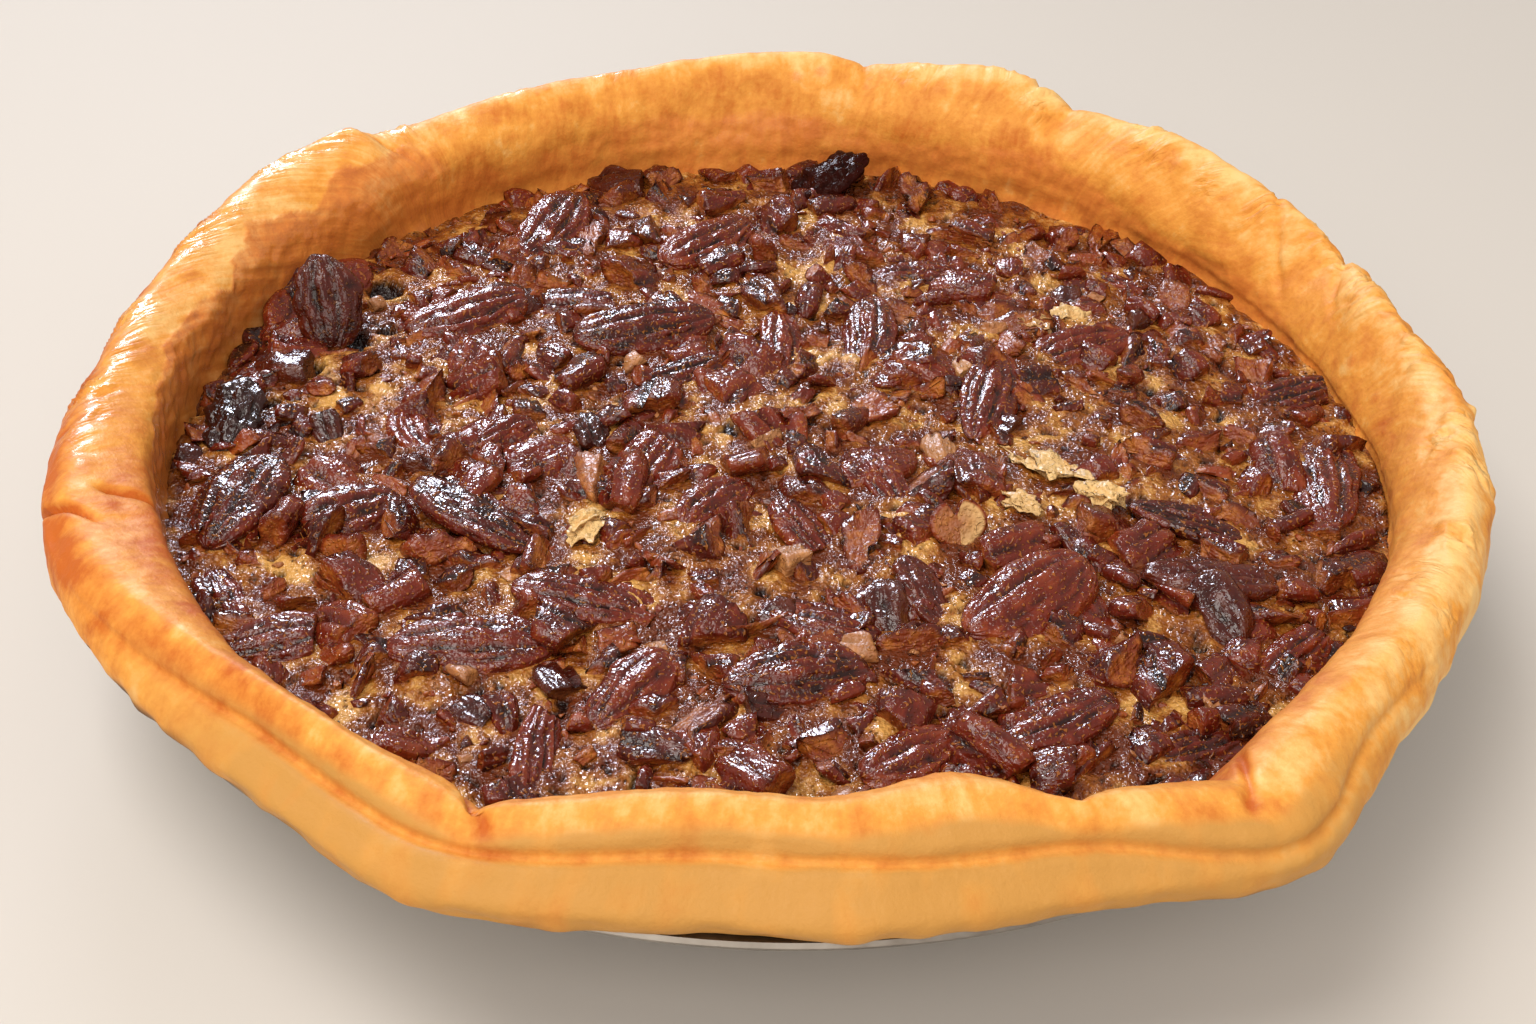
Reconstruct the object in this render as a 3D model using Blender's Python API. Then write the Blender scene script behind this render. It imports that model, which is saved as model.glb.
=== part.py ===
"""A pecan pie in its metal pie dish: a plain dish, a hand-folded pastry crust, a baked filling and the nuts on top.

Metres, +Z up. The origin is the centre of the dish's underside, and -Y is the side shown to the front.
Azimuths are in degrees, anticlockwise from +X, so that 90 is the back and 270 is the front.
"""

import math
import random

import bmesh
import bpy
from mathutils import Matrix, Vector

MM = 0.001
GAP = 0.4 * MM  # clearance between neighbouring pieces

# Dish
DISH_BASE_RADIUS = 91.0 * MM
DISH_MOUTH_RADIUS = 119.5 * MM
DISH_RIM_RADIUS = 124.6 * MM
DISH_HEIGHT = 36.0 * MM
DISH_THICKNESS = 1.1 * MM
DISH_HEM = 0.5 * MM  # how far the rolled edge stands out from the flange
DISH_STEPS = 48

# Crust
PASTRY_THICKNESS = 4.0 * MM
CRUST_STEPS = 96
WALL_RADIUS = 110.6 * MM  # the crust's inner wall where the filling meets it
SKIRT_RADIUS = 126.6 * MM
SKIRT_HEEL = 2.2 * MM  # from the skirt's lower edge in to where it lies on the dish
SKIRT_EDGE = 1.2 * MM  # the height of that rounded lower edge
SKIRT_BULGE = 0.7 * MM  # how far the skirt swells out
BULGE_HEIGHT = 41.6 * MM
BROW_HEIGHT = 46.0 * MM  # where the skirt turns over into the rim's top
CREASE_INSET = 6.0 * MM  # along the front the brow is a crease, this far inside the skirt
CREST_HEIGHT = 50.6 * MM
CREST_INSET = 5.0 * MM
CREST_ROLL = 2.6 * MM  # the drop from the crest to the outer edge of the rim's top
SHOULDER_HEIGHT = 45.5 * MM

# Filling
FILLING_LEVEL = 31.4 * MM  # at the wall
FILLING_RISE = 2.6 * MM  # from the wall to the middle
FILLING_STEPS = 48
FILLING_RINGS = 8

# Nuts
NUT_SINK = 2.6 * MM  # how deep a nut lies in the filling
NUT_HEIGHT = 0.42  # the height of a nut's round back over its flat side's line, for a width of 1
NUT_FLAT = 0.25  # how far below that line the flat side lies, as a share of the height

# Each nut: x, y (mm), turn about +Z, length, width (mm), pitch, roll (degrees).
HALVES = [
    (-63, 41, 31, 26, 13, 4, 12),
    (-27, 35, 20, 29, 14, 0, 14),
    (-53, -27, 145, 28, 15, 5, 10),
    (-49, -61, 4, 27, 13, 0, 12),
    (43, -46, 37, 27, 16, 6, 12),
    (8, -52, 161, 21, 12, 0, 8),
    (-33, -49, 171, 22, 11, 7, -8),
    (-75, -26, 31, 18, 13, 0, 14),
    (-94, -24, 71, 25, 16, 6, -10),
    (-67, 2, 107, 20, 12, 0, 0),
    (-51, -2, 43, 15, 9, 0, 24),
    (73, -21, 160, 21, 12, 5, 10),
    (102, -6, 82, 29, 13, 0, -12),
    (25, -44, 112, 18, 10, 10, 10),
    (75, -38, 171, 25, 14, 0, 8),
    (40, 16, 74, 26, 12, 8, 10),
    (18, 38, 84, 25, 12, 5, -10),
    (-16, 74, 47, 26, 13, 0, 12),
    (-50, 78, 64, 25, 13, 6, 14),
    (4, -67, 13, 24, 13, 0, 10),
    (-22, -70, 52, 19, 11, 8, 10),
    (22, -84, 32, 18, 12, 0, 8),
    (46, -75, 29, 22, 13, 4, -8),
    (0, 34, 92, 21, 10, 8, 10),
    (-11, -21, 51, 18, 11, 0, 16),
    (20, -14, 113, 17, 9, 10, -16),
    (28, 62, 3, 18, 10, 0, 12),
    (60, 36, 20, 22, 12, 5, 8),
]
PIECES = [
    (-41, 47, 3, 13, 11, 0, 6),
    (-24, -11, 49, 12, 10, 12, 8),
    (-82, -60, 19, 13, 11, 8, 10),
    (-92, -46, 118, 13, 8, 0, 14),
    (68, -78, 23, 13, 11, 0, 0),
    (87, -55, 40, 14, 9, 10, 8),
    (-36, -85, 83, 15, 8, 6, 20),
    (71, 66, 141, 14, 8, 0, 12),
    (99, 22, 20, 14, 11, 6, 8),
    (-19, 21, 24, 14, 9, 0, 20),
    (4, -27, 119, 13, 10, 10, 10),
]
BURNT = [
    (-101, 3, 81, 22, 12, 16, -8),
    (-90, 38, 100, 21, 15, 52, 0),
    (11, 100, 26, 21, 14, 24, 0),
    (-35, 0, 100, 13, 9, 0, 24),
    (66, -61, 46, 11, 9, 0, 10),
]
FLAKES = [
    (50, -7, 146, 17, 10, 0, 6),
    (32, -28, 143, 10, 9, 14, 0),
    (61, 50, 10, 10, 8, 0, 8),
]


def material(name, colour, roughness, metallic=0.0):
    made = bpy.data.materials.new(name)
    made.use_nodes = True
    shader = made.node_tree.nodes["Principled BSDF"]
    shader.inputs["Base Color"].default_value = (*colour, 1.0)
    shader.inputs["Roughness"].default_value = roughness
    shader.inputs["Metallic"].default_value = metallic
    return made


def add_object(name, shape, finish):
    """Makes the bmesh an object of the scene, shaded smooth with its edges kept."""
    bmesh.ops.recalc_face_normals(shape, faces=shape.faces)
    if shape.calc_volume(signed=True) < 0:
        bmesh.ops.reverse_faces(shape, faces=shape.faces)
    mesh = bpy.data.meshes.new(name)
    shape.to_mesh(mesh)
    shape.free()
    mesh.shade_smooth()
    mesh.set_sharp_from_angle(angle=math.radians(50))
    mesh.materials.append(finish)
    made = bpy.data.objects.new(name, mesh)
    bpy.context.scene.collection.objects.link(made)
    return made


def mix(low, high, share):
    return low + (high - low) * share


def turn_between(azimuth, centre):
    """The signed angle from centre to azimuth, from -180 to 180 degrees."""
    return (azimuth - centre + 180.0) % 360.0 - 180.0


def lobe(azimuth, centre, width):
    """A round swelling of the rim: 1 at its centre, fading over its width in degrees."""
    return math.exp(-((turn_between(azimuth, centre) / width) ** 2))


def notch(azimuth, centre, reach):
    """A sharp fold of the rim: 1 at its centre, dying away over its reach in degrees."""
    return math.exp(-abs(turn_between(azimuth, centre)) / reach)


def flap(azimuth, edge, reach):
    """An overlapping end of the pastry: a step up at its edge, thinning out past it."""
    past = turn_between(azimuth, edge)
    return math.exp(-past / reach) if past >= 0 else 0.0


def front_share(azimuth):
    """1 along the front, where the rim is a narrow roll over a skirt, and 0 along the back."""
    past = abs(turn_between(azimuth, 268)) - 48.0
    return 0.5 - 0.5 * math.sin(math.pi * min(max(past / 34.0, -0.5), 0.5))


def skirt_radius(azimuth):
    return SKIRT_RADIUS + MM * (
        4.0 * lobe(azimuth, 203, 15)
        - 1.5 * lobe(azimuth, 177, 10)
        + 4.6 * lobe(azimuth, 248, 10)
        - 1.4 * lobe(azimuth, 266, 6)
        + 8.6 * lobe(azimuth, 305, 9.5)
        - 3.0 * lobe(azimuth, 12, 8)
        + 2.0 * lobe(azimuth, 66, 14)
        + 1.8 * lobe(azimuth, 92, 16)
        + 3.6 * lobe(azimuth, 147, 9)
    )


def crest_height(azimuth):
    return CREST_HEIGHT + MM * (
        3.0 * lobe(azimuth, 92, 60)
        + 4.2 * lobe(azimuth, 68, 8)
        + 2.6 * lobe(azimuth, 89, 12)
        + 2.6 * lobe(azimuth, 42, 13)
        + 3.6 * flap(azimuth, 137, 11)
        - 1.0 * lobe(azimuth, 130, 7)
        - 1.8 * notch(azimuth, 82, 2)
        - 2.2 * notch(azimuth, 59.5, 2.5)
        - 1.4 * notch(azimuth, 35, 3)
        - 2.8 * notch(azimuth, 24, 3)
        - 1.6 * notch(azimuth, 204, 3)
        - 1.8 * notch(azimuth, 250, 4)
        - 1.6 * notch(azimuth, 303.5, 5)
    )


def shoulder_radius(azimuth):
    """The inner edge of the rim's top."""
    front = front_share(azimuth)
    return mix(111.3, 113.4, front) * MM + MM * (
        4.0 * lobe(azimuth, 95, 15)
        + 1.4 * lobe(azimuth, 150, 8)
        + 6.5 * notch(azimuth, 250, 3)
        + 4.0 * notch(azimuth, 292, 2)
        + 6.6 * notch(azimuth, 303.5, 4.5)
        - 7.4 * lobe(azimuth, 266, 12)
        - 8.3 * lobe(azimuth, 284, 7)
    )


def shoulder_height(azimuth):
    return SHOULDER_HEIGHT + MM * (2.0 * lobe(azimuth, 268, 55) - 9.0 * lobe(azimuth, 10, 34))


def crust_profile(azimuth):
    """The crust's section at this azimuth, as (radius, height) from its underside's centre round to its inside's."""
    slope = (DISH_MOUTH_RADIUS - DISH_BASE_RADIUS) / DISH_HEIGHT
    lean = math.hypot(1.0, slope)
    floor = DISH_THICKNESS + GAP
    base = DISH_BASE_RADIUS - (DISH_THICKNESS + GAP) * lean
    seat = DISH_HEIGHT + GAP
    inside_floor = floor + PASTRY_THICKNESS
    inside_base = base + slope * PASTRY_THICKNESS - PASTRY_THICKNESS * lean

    front = front_share(azimuth)
    corner = lobe(azimuth, 304, 8)
    skirt, crest = skirt_radius(azimuth), crest_height(azimuth)
    shoulder, sill = shoulder_radius(azimuth), shoulder_height(azimuth)
    crease = skirt - CREASE_INSET - (2.4 * lobe(azimuth, 270, 13) - 5.0 * corner) * MM
    crown = mix(skirt - CREST_INSET, mix(shoulder, crease, 0.42), front)
    return [
        (0.0, floor),
        (base, floor),
        (base + slope * (seat - floor), seat),
        (skirt - SKIRT_HEEL, seat),
        (skirt, seat + SKIRT_EDGE),
        (skirt + SKIRT_BULGE, BULGE_HEIGHT),
        (mix(skirt, crease, front), BROW_HEIGHT - 2.4 * MM * corner * front),
        (mix(skirt, crease, front) - 1.4 * MM, crest - CREST_ROLL),
        (crown, crest),
        (mix(crown, shoulder, 0.55), mix(crest, sill, 0.36)),
        (shoulder, sill),
        (mix(WALL_RADIUS, shoulder, 0.35), mix(FILLING_LEVEL, sill, 0.5)),
        (WALL_RADIUS, FILLING_LEVEL - 1.5 * MM),
        (inside_base, inside_floor),
        (0.0, inside_floor),
    ]


def filling_height(x, y):
    """The top of the filling, a little domed and uneven."""
    share = min(math.hypot(x, y) / WALL_RADIUS, 1.0)
    east, north = x / MM, y / MM
    swell = (
        0.55 * math.sin(east / 9.0 + 1.3) * math.cos(north / 11.0)
        + 0.45 * math.sin(north / 7.0 - east / 16.0)
        + 0.30 * math.cos(east / 5.5 + north / 8.0)
    )
    edge = 1.0 - share**6
    return FILLING_LEVEL + FILLING_RISE * (1.0 - share**2) + swell * edge * MM


def loft(name, rings, finish):
    """A closed solid through a stack of rings of points. A ring of one point is a pole."""
    shape = bmesh.new()
    made = [[shape.verts.new(point) for point in ring] for ring in rings]
    for low, high in zip(made, made[1:]):
        steps = max(len(low), len(high))
        for k in range(steps):
            n = (k + 1) % steps
            corners = [low[k % len(low)], low[n % len(low)], high[n % len(high)], high[k % len(high)]]
            shape.faces.new(list(dict.fromkeys(corners)))
    return add_object(name, shape, finish)


def ring_at(profiles, level):
    """The points of one level of the profiles, given as (azimuth, profile) pairs, round the axis."""
    if profiles[0][1][level][0] == 0.0:
        return [(0.0, 0.0, profiles[0][1][level][1])]
    points = []
    for azimuth, profile in profiles:
        radius, height = profile[level]
        points.append((radius * math.cos(math.radians(azimuth)), radius * math.sin(math.radians(azimuth)), height))
    return points


def make_dish(finish):
    """A pressed dish with a flat base, a slanting wall and a flange with a rolled edge, turned from one profile."""
    slope = (DISH_MOUTH_RADIUS - DISH_BASE_RADIUS) / DISH_HEIGHT
    inset = DISH_THICKNESS * math.hypot(1.0, slope)
    under = DISH_HEIGHT - DISH_THICKNESS
    profile = [
        (0.0, 0.0),
        (DISH_BASE_RADIUS, 0.0),
        (DISH_BASE_RADIUS + slope * under, under),
        (DISH_RIM_RADIUS - 2 * DISH_HEM, under),
        (DISH_RIM_RADIUS, under - DISH_HEM),
        (DISH_RIM_RADIUS + DISH_HEM, under + 0.4 * DISH_THICKNESS),
        (DISH_RIM_RADIUS, DISH_HEIGHT),
        (DISH_BASE_RADIUS - inset + slope * DISH_HEIGHT, DISH_HEIGHT),
        (DISH_BASE_RADIUS - inset + slope * DISH_THICKNESS, DISH_THICKNESS),
        (0.0, DISH_THICKNESS),
    ]
    profiles = [(360.0 * k / DISH_STEPS, profile) for k in range(DISH_STEPS)]
    return loft("dish", [ring_at(profiles, level) for level in range(len(profile))], finish)


def make_crust(finish):
    azimuths = [360.0 * k / CRUST_STEPS for k in range(CRUST_STEPS)]
    profiles = [(azimuth, crust_profile(azimuth)) for azimuth in azimuths]
    return loft("crust", [ring_at(profiles, level) for level in range(len(profiles[0][1]))], finish)


def make_filling(finish):
    """The filling fits the crust's inside, and its top is the uneven surface that the nuts lie in."""
    inside = crust_profile(0.0)
    wall_top, wall_foot, floor = inside[-3], inside[-2], inside[-1]
    lean = math.hypot(1.0, (wall_top[0] - wall_foot[0]) / (wall_top[1] - wall_foot[1]))
    azimuths = [2 * math.pi * k / FILLING_STEPS for k in range(FILLING_STEPS)]

    def ring(radius, height=None):
        places = [(radius * math.cos(turn), radius * math.sin(turn)) for turn in azimuths]
        return [(x, y, filling_height(x, y) if height is None else height) for x, y in places]

    foot = wall_foot[1] + GAP
    foot_radius = wall_foot[0] - GAP * (lean - (wall_top[0] - wall_foot[0]) / (wall_top[1] - wall_foot[1]))
    rings = [[(0.0, 0.0, floor[1] + GAP)], ring(foot_radius, foot), ring(wall_top[0] - GAP * lean, wall_top[1])]
    for k in range(FILLING_RINGS):
        rings.append(ring((wall_top[0] - GAP * lean) * (1.0 - k / FILLING_RINGS)))
    rings.append([(0.0, 0.0, filling_height(0.0, 0.0))])
    return loft("filling", rings, finish)


def nut_shape(length, width, dice):
    """A pecan half with its flat side down: a round back with a groove along it, between two lobes."""
    shape = bmesh.new()
    bmesh.ops.create_uvsphere(shape, u_segments=7, v_segments=6, radius=1.0)
    upright = math.radians(90 - 3 * 360 / 14)
    skew = dice.uniform(-0.12, 0.12)
    for vert in shape.verts:
        along = vert.co.z
        turn = math.atan2(vert.co.y, vert.co.x) + upright
        girth = max(1.0 - along**2, 0.0) ** 0.4 * (1.0 - skew * along)
        groove = 0.22 * max(math.sin(turn), 0.0) ** 8
        rise = max(math.sin(turn), -NUT_FLAT) * (1.0 - groove) + NUT_FLAT
        vert.co = (along * length / 2, math.cos(turn) * girth * width / 2, rise * girth * NUT_HEIGHT * width)
    return shape


def hollow_shape(nut, tip):
    """The hollow that a nut lies in: an eight-sided prism round it, whose ends are the tip's share of its width."""
    half_length, half_width, height = (max(abs(vert.co[axis]) for vert in nut.verts) + GAP for axis in range(3))
    outline = [(1.0, -tip), (1.0, tip), (0.62, 1.06), (-0.62, 1.06)]
    outline += [(-x, -y) for x, y in outline]
    shape = bmesh.new()
    base = [shape.verts.new((x * half_length, y * half_width, -GAP)) for x, y in outline]
    lifted = bmesh.ops.extrude_face_region(shape, geom=[shape.faces.new(base)])
    top = [item for item in lifted["geom"] if isinstance(item, bmesh.types.BMVert)]
    bmesh.ops.translate(shape, verts=top, vec=(0.0, 0.0, height + GAP))
    return shape


def broken(shape, dice):
    """Snaps both ends off a nut, each at a slant."""
    reach = max(vert.co.x for vert in shape.verts)
    for side in (-1, 1):
        cut = Vector((side, dice.uniform(-0.5, 0.5), dice.uniform(-0.3, 0.5))).normalized()
        everything = shape.verts[:] + shape.edges[:] + shape.faces[:]
        spot = Vector((side * reach * dice.uniform(0.55, 0.75), 0.0, 0.0))
        kept = bmesh.ops.bisect_plane(shape, geom=everything, plane_co=spot, plane_no=cut, clear_outer=True)
        edges = [item for item in kept["geom_cut"] if isinstance(item, bmesh.types.BMEdge)]
        bmesh.ops.contextual_create(shape, geom=edges)
    return shape


def make_nuts(prefix, rows, finish, snapped):
    """One object for each row of the list, and a hidden cutter for the hollow that it lies in."""
    cutters = []
    for number, (x, y, turn, length, width, pitch, roll) in enumerate(rows, 1):
        name = f"{prefix}_{number:02d}"
        dice = random.Random(name)
        shape = nut_shape(length * MM * (1.45 if snapped else 1.0), width * MM, dice)
        if snapped:
            broken(shape, dice)
        tipped = Matrix.Rotation(math.radians(-pitch), 4, "Y") @ Matrix.Rotation(math.radians(roll), 4, "X")
        turned = Matrix.Rotation(math.radians(turn), 4, "Z") @ tipped
        lowest = min((turned @ vert.co).z for vert in shape.verts)
        seat = Vector((x * MM, y * MM, filling_height(x * MM, y * MM) - NUT_SINK - lowest))
        cutter = add_object(f"{name}_hollow", hollow_shape(shape, 0.95 if snapped else 0.5), finish)
        nut = add_object(name, shape, finish)
        cutter.hide_render = True
        cutter.display_type = "WIRE"
        for item in (nut, cutter):
            item.matrix_world = Matrix.Translation(seat) @ turned
        cutters.append(cutter)
    return cutters


def main():
    for item in list(bpy.data.objects):
        bpy.data.objects.remove(item)
    metal = material("dish metal", (0.42, 0.41, 0.40), 0.35, 1.0)
    pastry = material("baked pastry", (0.80, 0.50, 0.20), 0.6)
    custard = material("baked filling", (0.42, 0.18, 0.05), 0.4)
    skin = material("pecan skin", (0.16, 0.04, 0.02), 0.35)
    char = material("burnt pecan", (0.02, 0.01, 0.01), 0.35)
    meat = material("bare nut", (0.78, 0.55, 0.26), 0.5)

    make_dish(metal)
    make_crust(pastry)
    filling = make_filling(custard)
    cutters = make_nuts("pecan_half", HALVES, skin, False)
    cutters += make_nuts("pecan_piece", PIECES, skin, True)
    cutters += make_nuts("burnt_pecan", BURNT, char, False)
    cutters += make_nuts("nut_flake", FLAKES, meat, True)
    for cutter in cutters:
        hollow = filling.modifiers.new(cutter.name, "BOOLEAN")
        hollow.operation = "DIFFERENCE"
        hollow.object = cutter


main()
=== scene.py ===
"""The looks of a baked pecan pie: folded puff-pastry rim, porous custard, glazed pecans and dish.

Metres, +Z up. The origin is the centre of the dish's underside, and -Y is the side shown to the front.
Azimuths are in degrees, anticlockwise from +X, so that 90 is the back and 270 is the front.
"""

import math
import random

import bmesh
import bpy
import numpy as np
from mathutils import Matrix, Vector, noise


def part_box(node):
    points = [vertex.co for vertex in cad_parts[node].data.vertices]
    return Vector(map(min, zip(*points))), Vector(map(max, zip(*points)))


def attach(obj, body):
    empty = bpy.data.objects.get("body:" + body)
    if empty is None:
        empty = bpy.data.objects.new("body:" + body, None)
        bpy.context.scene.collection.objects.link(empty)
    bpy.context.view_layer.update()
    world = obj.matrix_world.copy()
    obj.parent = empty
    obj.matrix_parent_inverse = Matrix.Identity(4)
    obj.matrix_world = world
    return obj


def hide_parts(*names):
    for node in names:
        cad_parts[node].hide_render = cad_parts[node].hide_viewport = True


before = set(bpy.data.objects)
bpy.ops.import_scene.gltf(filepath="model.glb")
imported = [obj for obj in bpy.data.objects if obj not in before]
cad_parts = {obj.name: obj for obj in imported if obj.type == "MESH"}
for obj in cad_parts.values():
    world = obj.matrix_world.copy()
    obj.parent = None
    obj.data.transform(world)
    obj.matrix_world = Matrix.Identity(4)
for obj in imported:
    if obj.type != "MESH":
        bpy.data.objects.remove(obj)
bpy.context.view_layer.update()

bl_info = {
    "name": "Pecan pie",
    "version": (1, 0, 0),
    "blender": (4, 5, 0),
    "location": "3D View > Sidebar > Pecan pie",
    "description": "Models and finishes a baked pecan pie in its dish",
    "category": "Object",
}

MM = 0.001
BODY = "root"

# Dish, as the solids have it
DISH_BASE_RADIUS = 91.0 * MM
DISH_MOUTH_RADIUS = 119.5 * MM
DISH_RIM_RADIUS = 124.6 * MM
DISH_HEIGHT = 36.0 * MM
DISH_SLOPE = (DISH_MOUTH_RADIUS - DISH_BASE_RADIUS) / DISH_HEIGHT
DISH_THICKNESS = 1.1 * MM
DISH_HEM = 0.5 * MM
GAP = 0.4 * MM  # between the dish and the pastry
DISH_MARGIN = 3 * MM  # how far inside the dish's wall every chopped piece stays

# Crust, as the solids have it
PASTRY_THICKNESS = 4.0 * MM
WALL_RADIUS = 110.6 * MM
SKIRT_RADIUS = 126.6 * MM
SKIRT_HEEL = 2.2 * MM
SKIRT_EDGE = 1.2 * MM
SKIRT_BULGE = 0.7 * MM
BULGE_HEIGHT = 41.6 * MM
BROW_HEIGHT = 46.0 * MM
CREASE_INSET = 6.0 * MM
CREST_HEIGHT = 50.6 * MM
CREST_INSET = 5.0 * MM
CREST_ROLL = 2.6 * MM
SHOULDER_HEIGHT = 45.5 * MM
FILLING_LEVEL = 31.4 * MM
FILLING_RISE = 2.6 * MM

# Fineness of the crust: steps round it, and points along each stretch of its section from the foot of
# its wall, over the skirt, the crest and the shoulder, to the foot of its inner wall
RIM_STEPS = 960
SECTION_POINTS = (3, 4, 4, 8, 9, 8, 10, 12, 12, 12, 8, 3)
BROW, CROWN = 5, 7  # which corners of the section these are

# How high the syrup stained the inner wall: azimuth and height (mm)
STAIN_EDGE = [
    (0, 30.0), (14, 31.0), (22, 34.0), (28, 39.0), (34, 38.0), (40, 37.0), (50, 40.0), (55, 43.5), (62, 44.5),
    (70, 43.0), (76, 41.0), (84, 44.0), (92, 45.0), (98, 44.0), (104, 45.5), (110, 44.5), (116, 42.0),
    (124, 41.0), (129, 42.5), (132, 46.5), (134, 49.5), (138, 50.5), (144, 49.5), (148, 46.0), (151, 48.5),
    (156, 49.5), (161, 48.0), (164, 44.0), (166, 46.5), (171, 48.0), (178, 47.5), (186, 45.5), (193, 43.0),
    (198, 40.5), (214, 41.0), (230, 40.0), (270, 38.0), (310, 36.0), (345, 32.0), (360, 30.0),
]  # fmt: skip

# Folds pressed into the rim: azimuth at the crest, how it leans (degrees for each mm inwards), where it
# begins and ends (mm inwards from the crest), its depth and its width (mm)
FOLDS = [
    (22.5, -0.40, -9, 9, 1.0, 1.5),
    (33.5, -0.50, -7, 14, 1.0, 1.4),
    (59.5, 0.10, -3, 9, 0.7, 1.2),
    (82, 0.0, -3, 7, 0.6, 1.2),
    (136.6, -0.25, -8, 16, 0.8, 0.8),
    (198.3, 0.20, 5, 14, 2.2, 0.7),
    (202.6, 0.40, -9, 3, 2.2, 0.8),
    (250, -0.30, -3, 9, 1.2, 1.0),
    (303.5, 0.25, -3, 10, 1.1, 1.1),
]

# How far the layers of the dough were turned as it was rolled: azimuth, and degrees for each mm inwards
SWIRL = [
    (0, 0.45), (22, 0.10), (40, 0.55), (60, 0.15), (90, 0.0), (130, 0.1), (142, -0.9), (172, -0.8),
    (188, -0.3), (215, 0.0), (325, 0.0), (345, 0.35), (360, 0.45),
]  # fmt: skip

# Where the oven scorched the rim's top: azimuth, width in degrees, mm inwards from the crest, and how much
SCORCHES = [
    (6, 11, -3.0, 0.55), (22, 5, -2.0, 0.35), (33, 4, 0.0, 0.30), (48, 4, 3.0, 0.22), (75, 7, 5.0, 0.25),
    (101, 6, 2.0, 0.22), (120, 7, 3.0, 0.20), (163, 4, -12.0, 0.25), (203, 5, -6.0, 0.42),
    (214, 9, -5.0, 0.30), (232, 8, -2.0, 0.30), (248, 4, -1.0, 0.28), (344, 5, -7.0, 0.25),
]  # fmt: skip

# Splashes of syrup on the pastry: azimuth, mm inwards from the crest, and reach (mm)
SPLASHES = [(86.4, 4.5, 2.2), (89, 6.0, 1.6), (154, 11.0, 1.4), (12, 12.0, 2.0), (6, 13.0, 1.6)]

# What the crust's finish reads at each point
PASTRY_VALUES = ("bake_and_shade", "stain", "wash", "crimp", "skirt", "underside_shade", "syrup")

# Hollows where the filling sank away: place (mm) and reach (mm)
CAVITIES = [
    (-86, 32, 5.0), (-82, 53, 4.5), (-79, 38, 3.0), (-90, 22, 2.5), (-96, 10, 2.5), (-36, -6, 2.0),
    (71, -55, 2.0), (18, 96, 2.5),
]  # fmt: skip

# What the finishes of the custard and the nuts read at each point
CUSTARD_VALUES = ("pit_shade", "froth")
NUT_VALUES = ("ridge", "flesh", "tone", "char", "film")
CUSTARD_CELLS = 290  # along each side of its surface

# For the nuts of each kind: their slot, whether they are snapped across, and how burnt they are
NUT_KINDS = {
    "pecan_half": ("pecan_skin", False, 0.0),
    "pecan_piece": ("pecan_skin", True, 0.0),
    "burnt_pecan": ("burnt_pecan", False, 0.86),
    "nut_flake": ("bare_nut", True, 0.0),
}
BURNS = {  # single nuts that burnt more or less than their kind
    "burnt_pecan_02": 0.42,
    "burnt_pecan_03": 0.84,
    "burnt_pecan_04": 0.66,
    "pecan_half_14": 0.40,
    "pecan_half_15": 0.45,
}
CRUMBLED = "burnt_pecan_03"  # a lump of burnt nut at the back, dry and rough all over
HEART_SHAPED = "nut_flake_02"  # a nut broken across, which shows its two golden lobes
HEART_HALF = (5.2 * MM, 3.6 * MM, 4.6 * MM)  # half its sizes
TONES = (-0.2, 0.1, 0.3, -0.05, 0.35, 0.15)  # how pale the skins are
CRUMB_TONES = (0.0, 0.2, 0.35, 0.45, 0.52, 0.6)

# Chips that lost their skin: place (mm), turn, length (mm) and how pale each is
PEELED = [
    (-33, -15, 100, 11, 0.55), (3, -38, 20, 11, 0.62), (14, -60, 170, 10, 0.60), (59, -17, 150, 12, 0.95),
    (-33, -30, 61, 11, 0.95), (44, -20, 130, 8, 0.9), (30, -4, 100, 9, 0.62), (-18, -62, 30, 8, 0.62),
    (52, 44, 20, 9, 0.75), (-2, -2, 60, 8, 0.62), (36, 24, 95, 9, 0.65), (70, -70, 100, 8, 0.6),
]  # fmt: skip

CAMERA_PLACE = Vector((0.0, -326.1, 260.2)) * MM
CAMERA_HEADING, CAMERA_DOWN, CAMERA_ROLL = 0.25, 36.64, 1.5  # degrees
ROOM_STRENGTH = 0.52  # of the light from all round
FLOOR_REACH = 4.0

# ---- Settings ------------------------------------------------------------------------------------


def linear(colour):
    """The linear RGBA of an sRGB colour written as #rrggbb."""
    shares = [int(colour[k : k + 2], 16) / 255 for k in (1, 3, 5)]
    return tuple(c / 12.92 if c <= 0.04045 else ((c + 0.055) / 1.055) ** 2.4 for c in shares) + (1.0,)


def colour_setting(name, colour, description):
    kind = {"size": 4, "subtype": "COLOR", "min": 0.0, "max": 1.0}
    return bpy.props.FloatVectorProperty(name=name, description=description, default=linear(colour), **kind)


def size_setting(name, size, description):
    kind = {"min": 0.0, "subtype": "DISTANCE", "unit": "LENGTH", "precision": 5}
    return bpy.props.FloatProperty(name=name, description=description, default=size, **kind)


def power_setting(name, power, description):
    return bpy.props.FloatProperty(name=name, description=description, default=power, subtype="POWER")


def count_setting(name, count, description):
    return bpy.props.IntProperty(name=name, description=description, default=count)


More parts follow.
